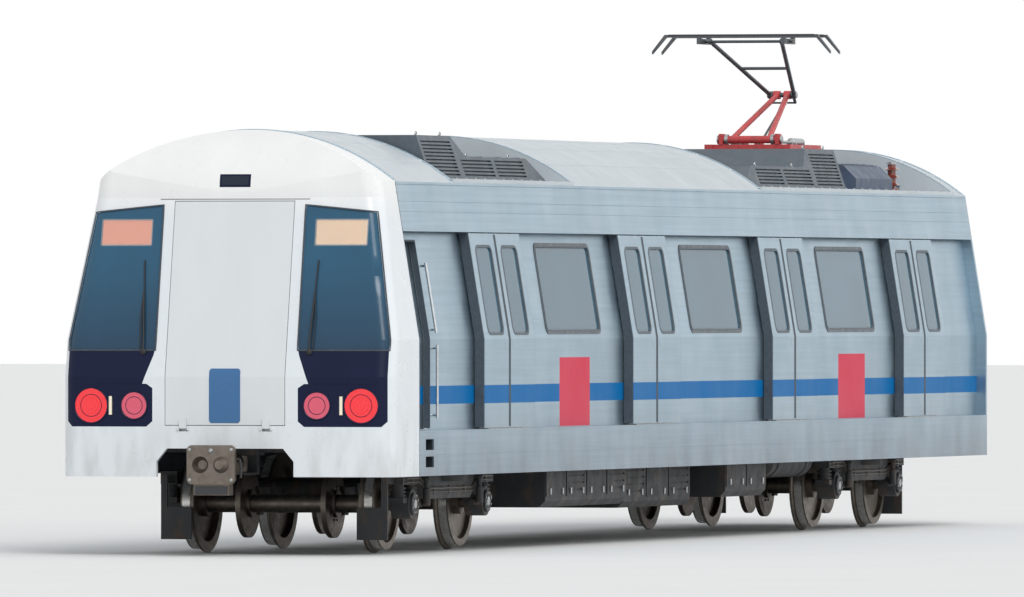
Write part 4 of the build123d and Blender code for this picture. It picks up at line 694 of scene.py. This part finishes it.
def search_tree(*names):
    """Search tree over the faces of CAD nodes."""
    points, faces = [], []
    for name in names:
        start = len(points)
        points += [vertex.co.copy() for vertex in NODES[name].data.vertices]
        faces += [[start + index for index in polygon.vertices] for polygon in NODES[name].data.polygons]
    return BVHTree.FromPolygons(points, faces)


FRONT = search_tree("cab_mask", "windscreens", "windscreen_surrounds", "lamp_housings", "tail_lamps",
                    "head_lamps", "emergency_door")


def on_front(y, z, proud=0.0):
    """Point on the cab front at y and z, or a little proud of it."""
    hit, normal, _, _ = FRONT.ray_cast(Vector((NOSE + 1, y, z)), Vector((-1, 0, 0)))
    if normal.x < 0:
        normal = -normal
    return hit + normal * proud


def front_path(points, proud, step=0.06):
    """Path on the cab front through (y, z) points."""
    path = []
    for (y0, z0), (y1, z1) in zip(points, points[1:]):
        length = sqrt((y1 - y0) ** 2 + (z1 - z0) ** 2)
        count = max(1, round(length / step))
        for share in (index / count for index in range(count)):
            path.append(on_front(y0 + (y1 - y0) * share, z0 + (z1 - z0) * share, proud))
    path.append(on_front(*points[-1], proud))
    return path


def front_ring(y, z, radius, proud):
    """Circle draped on the cab front."""
    return [on_front(y + u, z + v, proud) for u, v in circle(radius, 48)]


def front_panel(rows, thick):
    """Thin panel in the middle of the cab front, of rows at a height with a half width."""
    panel = Form()
    panel.loft([[on_front(y, z, proud)
                 for y, proud in ((-half, 0.0), (half, 0.0), (half, thick), (-half, thick))]
                for z, half in rows])
    return panel


def on_roof(turn, proud):
    """Point (y, z) of the arc of the high roofs, at an angle from its middle and proud of it."""
    radius = ROOF_RADIUS + proud
    return (radius * sin(turn), ROOF_Z - ROOF_RADIUS + radius * cos(turn))


def make_door_trim():
    """Dark strips on the outer edges of the door leaves, real rubber that also fills the gap to the wall as
    painted shade, rubber noses where they meet, gaskets and pulls.
    """
    lap = 0.014
    for side_name, side in SIDES:
        for way_name, way in (("fore", 1), ("aft", -1)):
            seals_and_gap_shade, gaskets, pulls = Form(), Form(), Form()
            for centre in DOORS:
                inner = centre + way * LEAF_GAP
                outer = inner + way * LEAF_WIDTH
                # dark strip from the leaf edge across the gap to the wall: real rubber on the leaf edge,
                # painted shade in the open gap
                seals_and_gap_shade.side_strip(reach(way, 0, 0.014, outer), (LEAF_Z[0] + 0.006, LEAF_Z[1]),
                                 (0.003, WALL_DEPTH - 0.008), side)
                seals_and_gap_shade.side_strip(reach(way, 0.002, 0.03, inner), grown(LEAF_Z, -0.01), (-0.002, 0.002), side)
                pane = about((inner + outer) / 2, LEAF_GLASS_WIDTH / 2)
                gaskets.side_ring(grown(pane, lap), grown(LEAF_GLASS_Z, lap), 0.084, 0.026,
                                  (-0.003, 0.013), side)
                pulls.side_strip(reach(way, 0.10, 0.15, inner), LEAF_PULL_Z, (-0.002, 0.004), side)
            leaves = f"{side_name}_{way_name}"
            seals_and_gap_shade.piece(f"leaf_seals_{leaves}", "seal", f"doors_{leaves}", 0.003)
            gaskets.piece(f"leaf_gaskets_{leaves}", "gasket", f"doors_{leaves}", 0.002)
            pulls.piece(f"leaf_pulls_{leaves}", "steel", f"doors_{leaves}", 0.002)


def make_side_trim():
    """Gutter, beads on the cantrails and sole bars, window gaskets and grooved door sills."""
    beads, gaskets, sills = Form(), Form(), Form()
    inset = 0.028
    for _, side in SIDES:
        for z, half, proud in SIDE_BEADS:
            beads.side_strip((BODY_REAR + 0.052, MASK_BACK - 0.004), about(z, half), (-proud, 0.002), side)
        for first, second in zip(DOORS, DOORS[1:]):
            bay = about((first + second) / 2, WINDOW_HALF)
            gaskets.side_ring(grown(bay, -inset), grown(WINDOW_Z, -inset), 0.062, 0.016,
                              (WALL_DEPTH - 0.010, WALL_DEPTH + 0.009), side)
        for centre in DOORS:
            sills.block(about(centre, SILL_HALF), reach(side, *SILL_Y), (SOLE_Z + 0.0005, SOLE_Z + 0.0055))
            for groove in range(SILL_GROOVES):
                y = SILL_Y[0] + 0.015 + 0.03 * groove
                sills.block(about(centre, SILL_HALF - 0.01), reach(side, y, y + 0.008),
                            (SOLE_Z + 0.005, SOLE_Z + 0.0075))
    beads.piece("side_beads", "steel", bevel=0.002)
    gaskets.piece("window_gaskets", "gasket", bevel=0.002)
    sills.piece("door_sills", "tread", bevel=0.001)


def make_cab_door_trim():
    """Edges of the cab doorways and of the moulded front, and the cab doors' gaskets and pulls."""
    edges = Form()
    low, high = CAB_DOOR_X
    upright, above = (FLOOR_Z + 0.01, CAB_DOOR_TOP), (CAB_DOOR_TOP - 0.003, CAB_DOOR_TOP + 0.014)
    for _, side in SIDES:
        for x, z in (((low - 0.012, low + 0.003), upright), ((high - 0.003, high + 0.012), upright),
                     (grown(CAB_DOOR_X, 0.012), above)):
            edges.side_strip(x, z, (WALL_DEPTH - 0.006, WALL_IN - 0.002), side)
        edges.side_strip((MASK_BACK - 0.006, MASK_BACK + 0.004), (SKIRT_Z + 0.01, GUTTER_Z - 0.02),
                         (-0.002, 0.006), side)
    edges.piece("cab_door_edges", "seal", bevel=0.002)
    face = CAB_LEAF_DEPTH - 0.0008
    for name, side in SIDES:
        gasket, pull = Form(), Form()
        gasket.side_ring(grown(CAB_GLASS_X, 0.012), grown(CAB_GLASS_Z, 0.012), 0.072, 0.022,
                         (face, CAB_LEAF_DEPTH + 0.011), side)
        gasket.piece(f"cab_door_gasket_{name}", "seal", f"cab_door_{name}")
        pull.side_strip(CAB_PULL_X, CAB_PULL_Z, (face, CAB_LEAF_DEPTH + 0.004), side)
        pull.piece(f"cab_door_pull_{name}", "seal", f"cab_door_{name}")


def make_foothold_pockets():
    """Open-fronted tins behind the footholds of the sole bars."""
    pockets = Form()
    face, back, tin = HALF_WIDTH - 0.0145, HALF_WIDTH - 0.12, 0.002
    x = grown(FOOTHOLD_X, 0.004)
    for _, side in SIDES:
        for z in (grown(foothold, 0.004) for foothold in FOOTHOLDS):
            for low in (z[0] - tin, z[1]):
                pockets.block(grown(x, tin), reach(side, face, back), (low, low + tin))
            for low in (x[0] - tin, x[1]):
                pockets.block((low, low + tin), reach(side, face, back), z)
            pockets.block(grown(x, tin), reach(side, back, back - tin), grown(z, tin))
    pockets.piece("foothold_pockets", "frame")


def make_roof_trim():
    """Beads and joint straps on the high roofs, and bolts along the wells."""
    beads, straps, bolts = Form(), Form(), Form()
    limit = asin(STRAP_HALF / ROOF_RADIUS)
    turns = span(-limit, limit, 0.04)
    strap = [on_roof(turn, 0.008) for turn in turns] + [on_roof(turn, -0.003) for turn in reversed(turns)]
    for low, high in HIGH_ROOFS:
        for step in (-3, -2, -1, 1, 2, 3):
            turn = asin(ROOF_BEAD_PITCH * step / ROOF_RADIUS)
            bead = [on_roof(turn + offset / ROOF_RADIUS, proud)
                    for offset, proud in ((-0.02, -0.002), (-0.012, 0.006), (0.012, 0.006), (0.02, -0.002))]
            beads.extrude(bead, "x", (low + 0.03, high - 0.03))
        for ends in ((low + 0.002, low + 0.05), (high - 0.05, high - 0.002)):
            straps.extrude(strap, "x", ends)
    for low, high in WELLS:
        for _, side in SIDES:
            for x in span(low + 0.15, high - 0.15, 0.32):
                bolts.lathe([(0, 0.014), (0.008, 0.014), (0.013, 0.008), (0.014, 0.001)],
                            (x, side * 1.25, WELL_Z), "z", 6)
    beads.piece("roof_beads", "roof", bevel=0.002)
    straps.piece("roof_joint_straps", "steel", bevel=0.002)
    bolts.piece("roof_bolts", "zinc")


def add_fan(guards, blades, x, y):
    """Guard of wire rings on four arms, and a fan below it."""
    for step in range(6):
        guards.ring((x, y, UNIT_TOP - 0.002), "z", FAN_RADIUS - 0.005 - 0.055 * step, 0.0035, 40, 6)
    guards.lathe([(UNIT_TOP - 0.006, 0.055), (UNIT_TOP + 0.004, 0.05), (UNIT_TOP + 0.006, 0.002)],
                 (x, y, 0), "z", 24)
    for ends in zip(circle(HUB_RADIUS, 4, 45), circle(FAN_RADIUS, 4, 45)):
        guards.tube([(x + u, y + v, UNIT_TOP - 0.003) for u, v in ends], 0.004, 6)
    for blade in range(FAN_BLADES):
        turn = 2 * pi * blade / FAN_BLADES
        blades.loft([[(x + radius * cos(turn + bend), y + radius * sin(turn + bend), z + lift)
                      for radius, bend, lift in BLADE] for z in (UNIT_TOP - 0.036, UNIT_TOP - 0.032)])


def make_unit_trim():
    """Fans with their guards, cover joints and lifting eyes of the roof units."""
    guards, blades, joints, eyes = Form(), Form(), Form(), Form()
    for tall, low in UNITS:
        raised_middle = tall + (UNIT_RAISED / 2 if tall < low else -UNIT_RAISED / 2)
        for _, side in SIDES:
            add_fan(guards, blades, raised_middle, side * (UNIT_HALF - (UNIT_TOP - WELL_Z) * UNIT_LEAN) / 2)
        for share in (0.39, 0.52, 0.68, 0.84):
            joints.block(about(tall + (low - tall) * share, 0.012), (-1.02, 1.02),
                         (UNIT_LOW_Z - 0.002, UNIT_LOW_Z + 0.005))
        for share, z in ((0.05, UNIT_TOP), (0.25, UNIT_TOP), (0.42, UNIT_LOW_Z), (0.78, UNIT_LOW_Z)):
            for _, side in SIDES:
                y = side * (UNIT_HALF - (z - WELL_Z) * UNIT_LEAN - 0.06)
                eyes.ring((tall + (low - tall) * share, y, z + 0.012), "y", 0.022, 0.006, 20, 8)
    guards.piece("fan_guards", "zinc")
    blades.piece("fan_blades", "rubber", bevel=0.001)
    joints.piece("unit_cover_joints", "unit", bevel=0.002)
    eyes.piece("lifting_eyes", "zinc")


def make_roof_gear_trim():
    """Lids, catches and cable ducts of the high voltage cases, and the insulators' caps."""
    lids, catches, caps, ducts = Form(), Form(), Form(), Form()
    for low, high, right, left, top in GEAR_CASES:
        flat = (right + 0.02, left - 0.15) if right > 0 else (right + 0.15, left - 0.02)
        face, way = (right, -1) if right > 0 else (left, 1)
        lids.block((low + 0.04, high - 0.04), flat, (top - 0.001, top + 0.012))
        for x in span(low + 0.15, high - 0.15, 0.35):
            catches.block(about(x, 0.02), reach(way, -0.001, 0.012, face), (top - 0.10, top - 0.03))
            lids.block(about(x, 0.06), grown(flat, -0.06), (top + 0.011, top + 0.018))
    for x, y, foot, top in POSTS:
        caps.lathe([(top - 0.028, 0.056), (top - 0.004, 0.056), (top - 0.001, 0.05)], (x, y, 0), "z", 24)
        caps.bolts([(foot + 0.028, 0.01), (foot + 0.042, 0.01), (foot + 0.045, 0.004)],
                   (x, y, 0), "z", 0.058, 4, 45)
    for low, high, y in CABLE_DUCTS:
        ducts.block((low, high), about(y, 0.026), (WELL_Z, WELL_Z + 0.06))
        ducts.block((low - 0.004, high + 0.004), about(y, 0.032), (WELL_Z + 0.058, WELL_Z + 0.07))
        for x in span(low + 0.1, high - 0.1, 0.4):
            ducts.block(about(x, 0.015), about(y, 0.045), (WELL_Z, WELL_Z + 0.012))
    lids.piece("gear_lids", "gear", bevel=0.004)
    catches.piece("gear_catches", "zinc", bevel=0.002)
    caps.piece("insulator_caps", "zinc")
    ducts.piece("roof_cable_ducts", "gear", bevel=0.003)


def make_pantograph_trim():
    """Contact strips of the head, air cylinders of the base, and caps and collars of the pivots."""
    strips, cylinders, knee, foot = Form(), Form(), Form(), Form()
    for end in (1, -1):
        x, z = HEAD[0] + end * 0.18, HEAD[1] + 0.054
        strips.loft([[(x + u, y, z + w)
                      for u, w in ((-0.027, 0), (0.027, 0), (0.027, rise - 0.003), (0.022, rise),
                                   (-0.022, rise), (-0.027, rise - 0.003))]
                     for y, rise in CONTACT_STRIP])
    for y in (-PAN_CYLINDER_Y, PAN_CYLINDER_Y):
        cylinders.lathe(PAN_CYLINDER, (0, y, PAN_CYLINDER_Z), "x", 24)
        for x in (-8.15, -7.84):
            cylinders.block(about(x, 0.02), about(y, 0.05), (PAN_CYLINDER_Z - 0.03, PAN_CYLINDER_Z))
        cylinders.block((-8.305, -7.335), about(y, 0.04), (PAN_CYLINDER_Z - 0.04, PAN_CYLINDER_Z - 0.028))
    for side in (1, -1):
        for form, profile, (x, z), segments in (
                (knee, ((0.146, 0.034), (0.156, 0.034), (0.162, 0.02), (0.163, 0.002)), KNEE, 20),
                (foot, ((0.331, 0.048), (0.343, 0.048), (0.35, 0.03), (0.351, 0.002)), PAN_PIVOT, 24),
                (foot, ((0.229, 0.056), (0.262, 0.056)), PAN_PIVOT, 24)):
            form.lathe([(side * y, radius) for y, radius in profile], (x, 0, z), "y", segments)
    strips.piece("contact_strips", "carbon", "pan_head")
    cylinders.piece("pantograph_cylinders", "zinc", bevel=0.001)
    knee.piece("knee_caps", "zinc", "upper_arm")
    foot.piece("pivot_collars", "zinc", "lower_arm", bevel=0.002)


def make_front_trim():
    """Gaskets, lamp bezels, lens rings, light strips, wipers, the dome's seam and lamp, and a blank plate."""
    gaskets, seam, bezels, rings, strips, wipers = Form(), Form(), Form(), Form(), Form(), Form()
    seam.tube(front_path([(-DOME_SEAM_HALF, DOME_SEAM_Z), (DOME_SEAM_HALF, DOME_SEAM_Z)], 0.0), 0.004, 6)
    for _, side in SIDES:
        gaskets.tube(front_path([(side * y, z) for y, z in SCREEN + SCREEN[:1]], 0.001)[:-1], 0.008, 8, True)
        for y, radius in ((TAIL_Y, TAIL_RADIUS), (HEAD_Y, HEAD_RADIUS)):
            bezels.tube(front_ring(side * y, LAMP_Z, radius, 0.002), 0.009, 8, True)
            bezels.tube(front_ring(side * y, LAMP_Z, radius * 0.62, 0.0005), 0.003, 6, True)
        for share in (0.2, 0.42):
            rings.tube(front_ring(side * TAIL_Y, LAMP_Z, TAIL_RADIUS * share, 0.0), 0.003, 6, True)
        strip = [(side * STRIP_Y, z) for z in about(LAMP_Z, STRIP_HALF)]
        strips.tube(front_path(strip, 0.002, 0.02), 0.016, 10)
        wipers.lathe([(-0.01, 0.028), (0.018, 0.028), (0.024, 0.018), (0.026, 0.002)],
                     on_front(side * WIPER_Y, WIPER_Z), "x", 20)
        for path, radius, sides in WIPER_RODS:
            wipers.tube([on_front(side * y, z, proud) for y, z, proud in path], radius, sides)
    gaskets.piece("windscreen_gaskets", "seal")
    seam.piece("dome_seam", "seam")
    bezels.piece("lamp_bezels", "black")
    rings.piece("lens_rings", "lamp_red")
    strips.piece("light_strips", "strip_light")
    wipers.piece("wipers", "rubber")
    dome_lamp = front_panel([(z, DOME_LAMP_HALF) for z in span(*DOME_LAMP_Z, 0.02)], 0.007)
    dome_lamp.piece("dome_lamp", "smoke", bevel=0.003)
    low, high = PLATE_Z
    rows = [(low, PLATE_HALF - 0.02), (low + 0.01, PLATE_HALF - 0.007), (low + 0.025, PLATE_HALF)]
    rows += [(z, PLATE_HALF) for z in span(low + 0.055, high - 0.025, 0.06)]
    rows += [(high - 0.01, PLATE_HALF - 0.007), (high, PLATE_HALF - 0.02)]
    front_panel(rows, 0.006).piece("blank_plate", "plate", "emergency_door", bevel=0.002)


def make_bogie_trim():
    """Cover bolts, dampers and brake pipes on the bogies."""
    for name, way in (("front", 1), ("rear", -1)):
        centre = way * BOGIE_X
        bolts, dampers, pipes = Form(), Form(), Form()
        for axle in (1, -1):
            x = centre + axle * WHEELBASE / 2
            for _, side in SIDES:
                face = side * (BEAM_Y + 0.112)
                bolts.bolts([(face, 0.011), (face + side * 0.009, 0.011), (face + side * 0.012, 0.005)],
                            (x, 0, AXLE_Z), "y", 0.082, 8, 22.5)
                bolts.lathe([(face, 0.045), (face + side * 0.008, 0.042), (face + side * 0.01, 0.002)],
                            (x, 0, AXLE_Z), "y", 24)
                damper_x, y = x - axle * 0.33, side * (BEAM_Y + 0.125)
                dampers.lathe(DAMPER, (damper_x, y, 0), "z", 20)
                for z in (0.455, 0.695):
                    dampers.lathe([(y - side * 0.05, 0.02), (y + side * 0.03, 0.02)],
                                  (damper_x, 0, z), "y", 16)
                dampers.block(reach(axle, -0.35, -0.12, x), reach(side, BEAM_Y + 0.03, BEAM_Y + 0.08),
                              (0.43, 0.475))
        for _, side in SIDES:
            y = side * (BEAM_Y + 0.089)
            for drop, radius in ((0.0, 0.011), (0.035, 0.008)):
                pipes.tube([(centre + u, y, z - drop) for u, z in BRAKE_PIPE], radius, 8)
            for u, z in ((-1.2, 0.70), (-0.5, 0.60), (0.0, 0.60), (0.5, 0.60), (1.2, 0.70)):
                pipes.block(about(centre + u, 0.012), reach(side, -0.014, 0.006, y), (z - 0.055, z + 0.02))
        bolts.piece(f"axle_cover_bolts_{name}", "zinc", f"bogie_{name}")
        dampers.piece(f"dampers_{name}", "bogie", f"bogie_{name}", bevel=0.002)
        pipes.piece(f"brake_pipes_{name}", "copper", f"bogie_{name}")


def make_wheel_trim():
    """Bright treads of the wheels, and bolts of the brake discs."""
    for number, x in enumerate(AXLES, 1):
        treads, bolts = Form(), Form()
        for _, side in SIDES:
            start, stop = side * (FLANGE_BACK + 0.045), side * (FLANGE_BACK + 0.12)
            treads.lathe([(start, WHEEL_RADIUS - 0.006), (start, WHEEL_RADIUS + 0.0006),
                          (stop, WHEEL_RADIUS - 0.0022), (stop, WHEEL_RADIUS - 0.01)],
                         (x, 0, AXLE_Z), "y", 96, True)
            y = side * DISC_FACE
            bolts.bolts([(y, 0.012), (y + side * 0.012, 0.012), (y + side * 0.014, 0.006)],
                        (x, 0, AXLE_Z), "y", 0.16, 10)
        treads.piece(f"treads_{number}", "tread", f"wheelset_{number}")
        bolts.piece(f"disc_bolts_{number}", "zinc", f"wheelset_{number}")


def make_air_springs():
    """Rubber air springs of two folds between steel rings, in place of the plain ones."""
    low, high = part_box("air_springs")[0].z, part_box("air_springs")[1].z
    foot, tall = low + 0.035, 0.08
    profile = [(low, 0.16), (low + 0.03, 0.165), (foot, 0.19)]
    for fold in range(2):
        for turn in (pi * step / 8 for step in range(9)):
            profile.append((foot + tall * (fold + (1 - cos(turn)) / 2), 0.198 + 0.04 * sin(turn)))
    profile += [(high - 0.03, 0.20), (high - 0.028, 0.225), (high - 0.001, 0.225)]
    springs, girdles = Form(), Form()
    for x in (BOGIE_X, -BOGIE_X):
        for y in (BEAM_Y, -BEAM_Y):
            springs.lathe(profile, (x, y, 0), "z", 48)
            girdles.ring((x, y, foot + tall), "z", 0.2, 0.008, 48, 8)
    spring = springs.piece("air_spring_bellows", "rubber")
    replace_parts(spring, "air_springs")
    girdles.piece("air_spring_girdles", "zinc")


def make_underfloor_trim():
    """Catches and hinges of the hung cases, cooling and air pipes, and conduits."""
    catches, pipes, conduits = Form(), Form(), Form()
    for low, high, right, left, under, covers in HUNG_CASES:
        pitch = (high - low) / covers
        for x in (low + (index + share) * pitch for index in range(covers) for share in (0.2, 0.8)):
            for face, side in ((right, -1), (left, 1)):
                catches.block(about(x, 0.02), reach(side, 0.009, 0.022, face), (under + 0.12, under + 0.18))
                catches.lathe([(x - 0.05, 0.012), (x + 0.05, 0.012)],
                              (0, face + side * 0.012, HINGE_Z), "x", 12)
    for y in (-0.2, 0.2):
        for ends in COOLING_PIPES:
            pipes.tube([(x, y, COOLING_Z) for x in ends], 0.035, 14)
            for x in grown(ends, -0.05):
                pipes.lathe([(x - 0.012, 0.055), (x + 0.012, 0.055)], (0, y, COOLING_Z), "x", 16)
    for y in (-0.95, 0.95):
        pipes.tube([(x, y, z) for x, z in AIR_PIPE], 0.014, 10)
    for _, side in SIDES:
        for y in (side * (CONDUIT_Y + 0.03 * index) for index in range(3)):
            conduits.tube([(x, y, CONDUIT_Z) for x in (-CONDUIT_HALF, CONDUIT_HALF)], 0.011, 8)
    catches.piece("case_catches", "zinc", bevel=0.002)
    pipes.piece("cooling_pipes", "copper")
    conduits.piece("conduits", "under")


def make_coupler_trim():
    """Bolts, uncoupling lever and contact cover of the front coupler, and the rear bar's bolts."""
    bolts, covers, rear = Form(), Form(), Form()
    for y in (-0.2, 0.2):
        for z in (-0.14, 0.14):
            bolts.lathe([(PLATE_X, 0.016), (PLATE_X + 0.01, 0.016), (PLATE_X + 0.013, 0.008)],
                        (0, y, COUPLER_Z + z), "x", 6)
    bolts.lathe([(-0.002, 0.022), (0.006, 0.022), (0.016, 0.014), (0.017, 0.002)],
                (PLATE_X, 0, COUPLER_Z + 0.13), "x", 20)
    bolts.bolts([(SHANK_FLANGE_X, 0.012), (SHANK_FLANGE_X + 0.012, 0.012)], (0, 0, COUPLER_Z), "x", 0.088, 8)
    covers.block((PLATE_X - 0.025, PLATE_X - 0.003), (-0.155, 0.155), (COUPLER_Z - 0.272, COUPLER_Z - 0.195))
    covers.tube([(UNCOUPLING_X, y, COUPLER_Z + z) for y, z in UNCOUPLING_LEVER], 0.011, 8)
    rear.bolts([(REAR_FLANGE_X, 0.013), (REAR_FLANGE_X + 0.015, 0.013)],
               (0, 0, COUPLER_Z), "x", 0.12, 8, 22.5)
    bolts.piece("coupler_bolts", "zinc", "front_coupler")
    covers.piece("coupler_cover", "under", "front_coupler", bevel=0.004)
    rear.piece("rear_coupler_bolts", "zinc")


def make_gangway():
    """Folded bellows of coated cloth with a metal frame at their free end, in place of the plain ones."""
    low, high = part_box("gangway_bellows")
    folds, fold_steps = 7, 8
    length = high.x - low.x - 0.03

    def ring(x, out):
        outline = rounded(about(0, GANGWAY_HALF + out), grown((FLOOR_Z, GANGWAY_Z), out), 0.1, 8)
        return [(x, y, z) for y, z in outline]

    stations = [(high.x - length * step / (folds * fold_steps), 0.032 * abs(sin(pi * step / fold_steps)))
                for step in range(folds * fold_steps + 1)]
    cloth, end_frame, plate = Form(), Form(), Form()
    cloth.loft([ring(x, 0.095 + swell) for x, swell in stations]
               + [ring(x, 0.02 + swell) for x, swell in reversed(stations)], closed=True)
    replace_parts(cloth.piece("gangway_cloth", "cloth_dark", sharp=70), "gangway_bellows")
    end_frame.loft([ring(low.x + along, out)
                    for along, out in ((0.03, 0.1), (0.001, 0.1), (0.001, 0.01), (0.03, 0.01))], closed=True)
    end_frame.piece("gangway_frame", "zinc", bevel=0.002)
    plate.block((low.x + 0.02, BODY_REAR + 0.06), (-0.56, 0.56), (FLOOR_Z + 0.001, FLOOR_Z + 0.012))
    for rib in range(18):
        plate.block((low.x + 0.03, BODY_REAR + 0.05), about(-0.51 + 0.06 * rib, 0.006),
                    (FLOOR_Z + 0.011, FLOOR_Z + 0.015))
    plate.piece("gangway_tread", "tread")


def make_saloon():
    """Ceiling lamps and vents, strap handles, and draught screens beside the doors."""
    lamps, vents, straps, loops, screens = Form(), Form(), Form(), Form(), Form()
    for _, side in SIDES:
        for ends in CEILING_LAMPS:
            lamps.block(ends, reach(side, *CEILING_LAMP_Y), CEILING_LAMP_Z)
        for x in span(*STRAP_ENDS, STRAP_PITCH):
            straps.block(about(x, 0.012), reach(side, STRAP_Y - 0.003, STRAP_Y + 0.003), STRAP_Z)
            loop = [(x + u, side * STRAP_Y, STRAP_Z[0] - 0.05 + v) for u, v in circle(0.055, 20)]
            loops.tube(loop, 0.007, 6, True)
        for x in (edge for centre in DOORS for edge in about(centre, 0.78)):
            screens.extrude([(side * y, z) for y, z in DRAUGHT_SCREEN], "x", about(x, 0.006))
    for x in span(*VENT_ENDS, VENT_PITCH):
        vents.block(about(x, VENT_HALF), (-0.12, 0.12), (3.28, 3.289))
        for slot in range(5):
            vents.block(about(x, VENT_HALF - 0.02), about(-0.08 + 0.04 * slot, 0.008), (3.274, 3.281))
    lamps.piece("ceiling_lamps", "tube_light", bevel=0.004)
    vents.piece("ceiling_vents", "lining", bevel=0.002)
    straps.piece("strap_bands", "cloth_dark")
    loops.piece("strap_loops", "mask")
    screens.piece("draught_screens", "window")


def make_cab_fittings():
    """Driver's monitors, master lever and buttons, and the padded seat on its post."""
    consoles, screens, knobs, post = Form(), Form(), Form(), Form()
    for _, side in SIDES:
        for middle in MONITORS:
            y = reach(side, *about(middle, MONITOR_HALF))
            consoles.leaning_slab(MONITOR_FACE, y, 0.04, 0.012)
            screens.leaning_slab(MONITOR_SCREEN, grown(y, -0.015), -0.004, 0.001)
        for x in BUTTON_X:
            z = DESK_Z + DESK_SLOPE * (x - DESK_EDGE)
            for y in BUTTON_Y:
                knobs.lathe([(z - 0.002, 0.013), (z + 0.014, 0.012), (z + 0.017, 0.004)],
                            (x, side * y, 0), "z", 14)
    consoles.block((9.98, 10.20), about(LEVER_Y, 0.03), (DESK_Z, DESK_Z + 0.045))
    consoles.tube([(LEVER_X + 0.03, LEVER_Y, 1.93), (LEVER_X, LEVER_Y, 2.05)], 0.009, 10)
    consoles.lathe([(2.04, 0.01), (2.05, 0.026), (2.08, 0.028), (2.095, 0.012)],
                   (LEVER_X - 0.005, LEVER_Y, 0), "z", 20)
    consoles.piece("console_fittings", "desk", bevel=0.004)
    screens.piece("console_screens", "black")
    knobs.piece("console_buttons", "mask")
    post.lathe(SEAT_POST, (*SEAT, 0), "z", 32)
    post.block(*SEAT_PAN)
    post.block(*SEAT_SPINE)
    post.piece("driver_seat_post", "under", bevel=0.004)
    cushion = pad("driver_cushion", *CUSHION)
    back = pad("driver_backrest", *BACKREST)
    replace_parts(cushion, "driver_seat")


def pad(name, *box):
    """Crowned cushion with a sewn edge and channels, from a fine block that swells between its seams."""
    mesh = bmesh.new()
    bmesh.ops.create_cube(mesh, size=1)
    bmesh.ops.subdivide_edges(mesh, edges=mesh.edges[:], cuts=11, use_grid_fill=True)
    middle = Vector([(low + high) / 2 for low, high in box])
    half = Vector([(high - low) / 2 for low, high in box])
    thin = min(range(3), key=lambda axis: half[axis])
    wide = [axis for axis in range(3) if axis != thin]
    for vertex in mesh.verts:
        share = vertex.co * 2
        crown = (1 - abs(share[wide[0]]) ** 4) * (1 - abs(share[wide[1]]) ** 4)
        channel = 0.16 * exp(-((abs(share[1]) - 0.45) / 0.07) ** 2)
        share[thin] *= 0.62 + 0.38 * crown - channel * (1 if abs(share[thin]) > 0.5 else 0)
        for axis in wide:
            share[axis] *= 0.975 + 0.025 * (1 - abs(share[thin]) ** 2)
        vertex.co = middle + Vector([half[axis] * share[axis] for axis in range(3)])
    piece = Form(mesh).piece(name, "cloth", sharp=80)
    smooth = piece.modifiers.new("smooth", "SUBSURF")
    smooth.levels = 1
    smooth.render_levels = 1
    return piece


def aim(thing, direction):
    """Turn a camera or a lamp towards a direction."""
    thing.rotation_mode = "QUATERNION"
    thing.rotation_quaternion = direction.to_track_quat("-Z", "Y")


def make_camera():
    """Long lens, far ahead of the car and to its left."""
    camera = add_object("camera", bpy.data.cameras.new("camera"))
    camera.data.lens = FOCAL
    camera.data.clip_end = 2000
    camera.location = AIM + VIEW_DISTANCE * Vector((cos(VIEW_TURN), sin(VIEW_TURN), 0))
    camera.location.z = CAMERA_Z
    aim(camera, AIM - camera.location)
    bpy.context.scene.camera = camera


def make_sky():
    """Even light from the sky, which the camera, glass and mirrors see as white."""
    world = bpy.data.worlds.new("studio")
    bpy.context.scene.world = world
    world.use_nodes = True
    tree = world.node_tree
    tree.nodes.clear()
    rays = add_node(tree, "ShaderNodeLightPath").outputs
    seen = rays["Is Camera Ray"]
    for kind in ("Is Transmission Ray", "Is Glossy Ray"):
        seen = add_node(tree, "ShaderNodeMath", {0: seen, 1: rays[kind]}, operation="MAXIMUM").outputs[0]
    sky = add_node(tree, "ShaderNodeBackground", {"Color": (0.93, 0.96, 1.0, 1), "Strength": 0.55})
    white = add_node(tree, "ShaderNodeBackground", {"Color": (1, 1, 1, 1), "Strength": 1.0})
    mixed = add_node(tree, "ShaderNodeMixShader", {0: seen, 1: sky.outputs[0], 2: white.outputs[0]})
    add_node(tree, "ShaderNodeOutputWorld", {"Surface": mixed.outputs[0]})


def make_studio():
    """Pale floor, and two soft lamps."""
    for name, direction, strength, softness in (("key", (-0.75, -0.45, -0.7), 1.5, 25),
                                                ("fill", (0.3, -0.8, -0.5), 0.5, 60)):
        lamp = bpy.data.lights.new(name, "SUN")
        lamp.energy = strength
        lamp.angle = radians(softness)
        aim(add_object(name, lamp), Vector(direction))
    size = 400
    mesh = bpy.data.meshes.new("studio_floor")
    corners = [(-size, -size, 0), (size, -size, 0), (size, size, 0), (-size, size, 0)]
    mesh.from_pydata(corners, [], [(0, 1, 2, 3)])
    floor = add_object("studio_floor", mesh)
    ground = Shader("studio_floor", (236, 236, 234), 0.8)
    ground.shade(0.01, 0.5)
    mesh.materials.append(ground.done())


make_door_trim()
make_side_trim()
make_cab_door_trim()
make_foothold_pockets()
make_roof_trim()
make_unit_trim()
make_roof_gear_trim()
make_pantograph_trim()
make_front_trim()
make_bogie_trim()
make_wheel_trim()
make_air_springs()
make_underfloor_trim()
make_coupler_trim()
make_gangway()
make_saloon()
make_cab_fittings()
make_camera()
make_sky()
make_studio()
bpy.context.scene.view_settings.view_transform = "Standard"
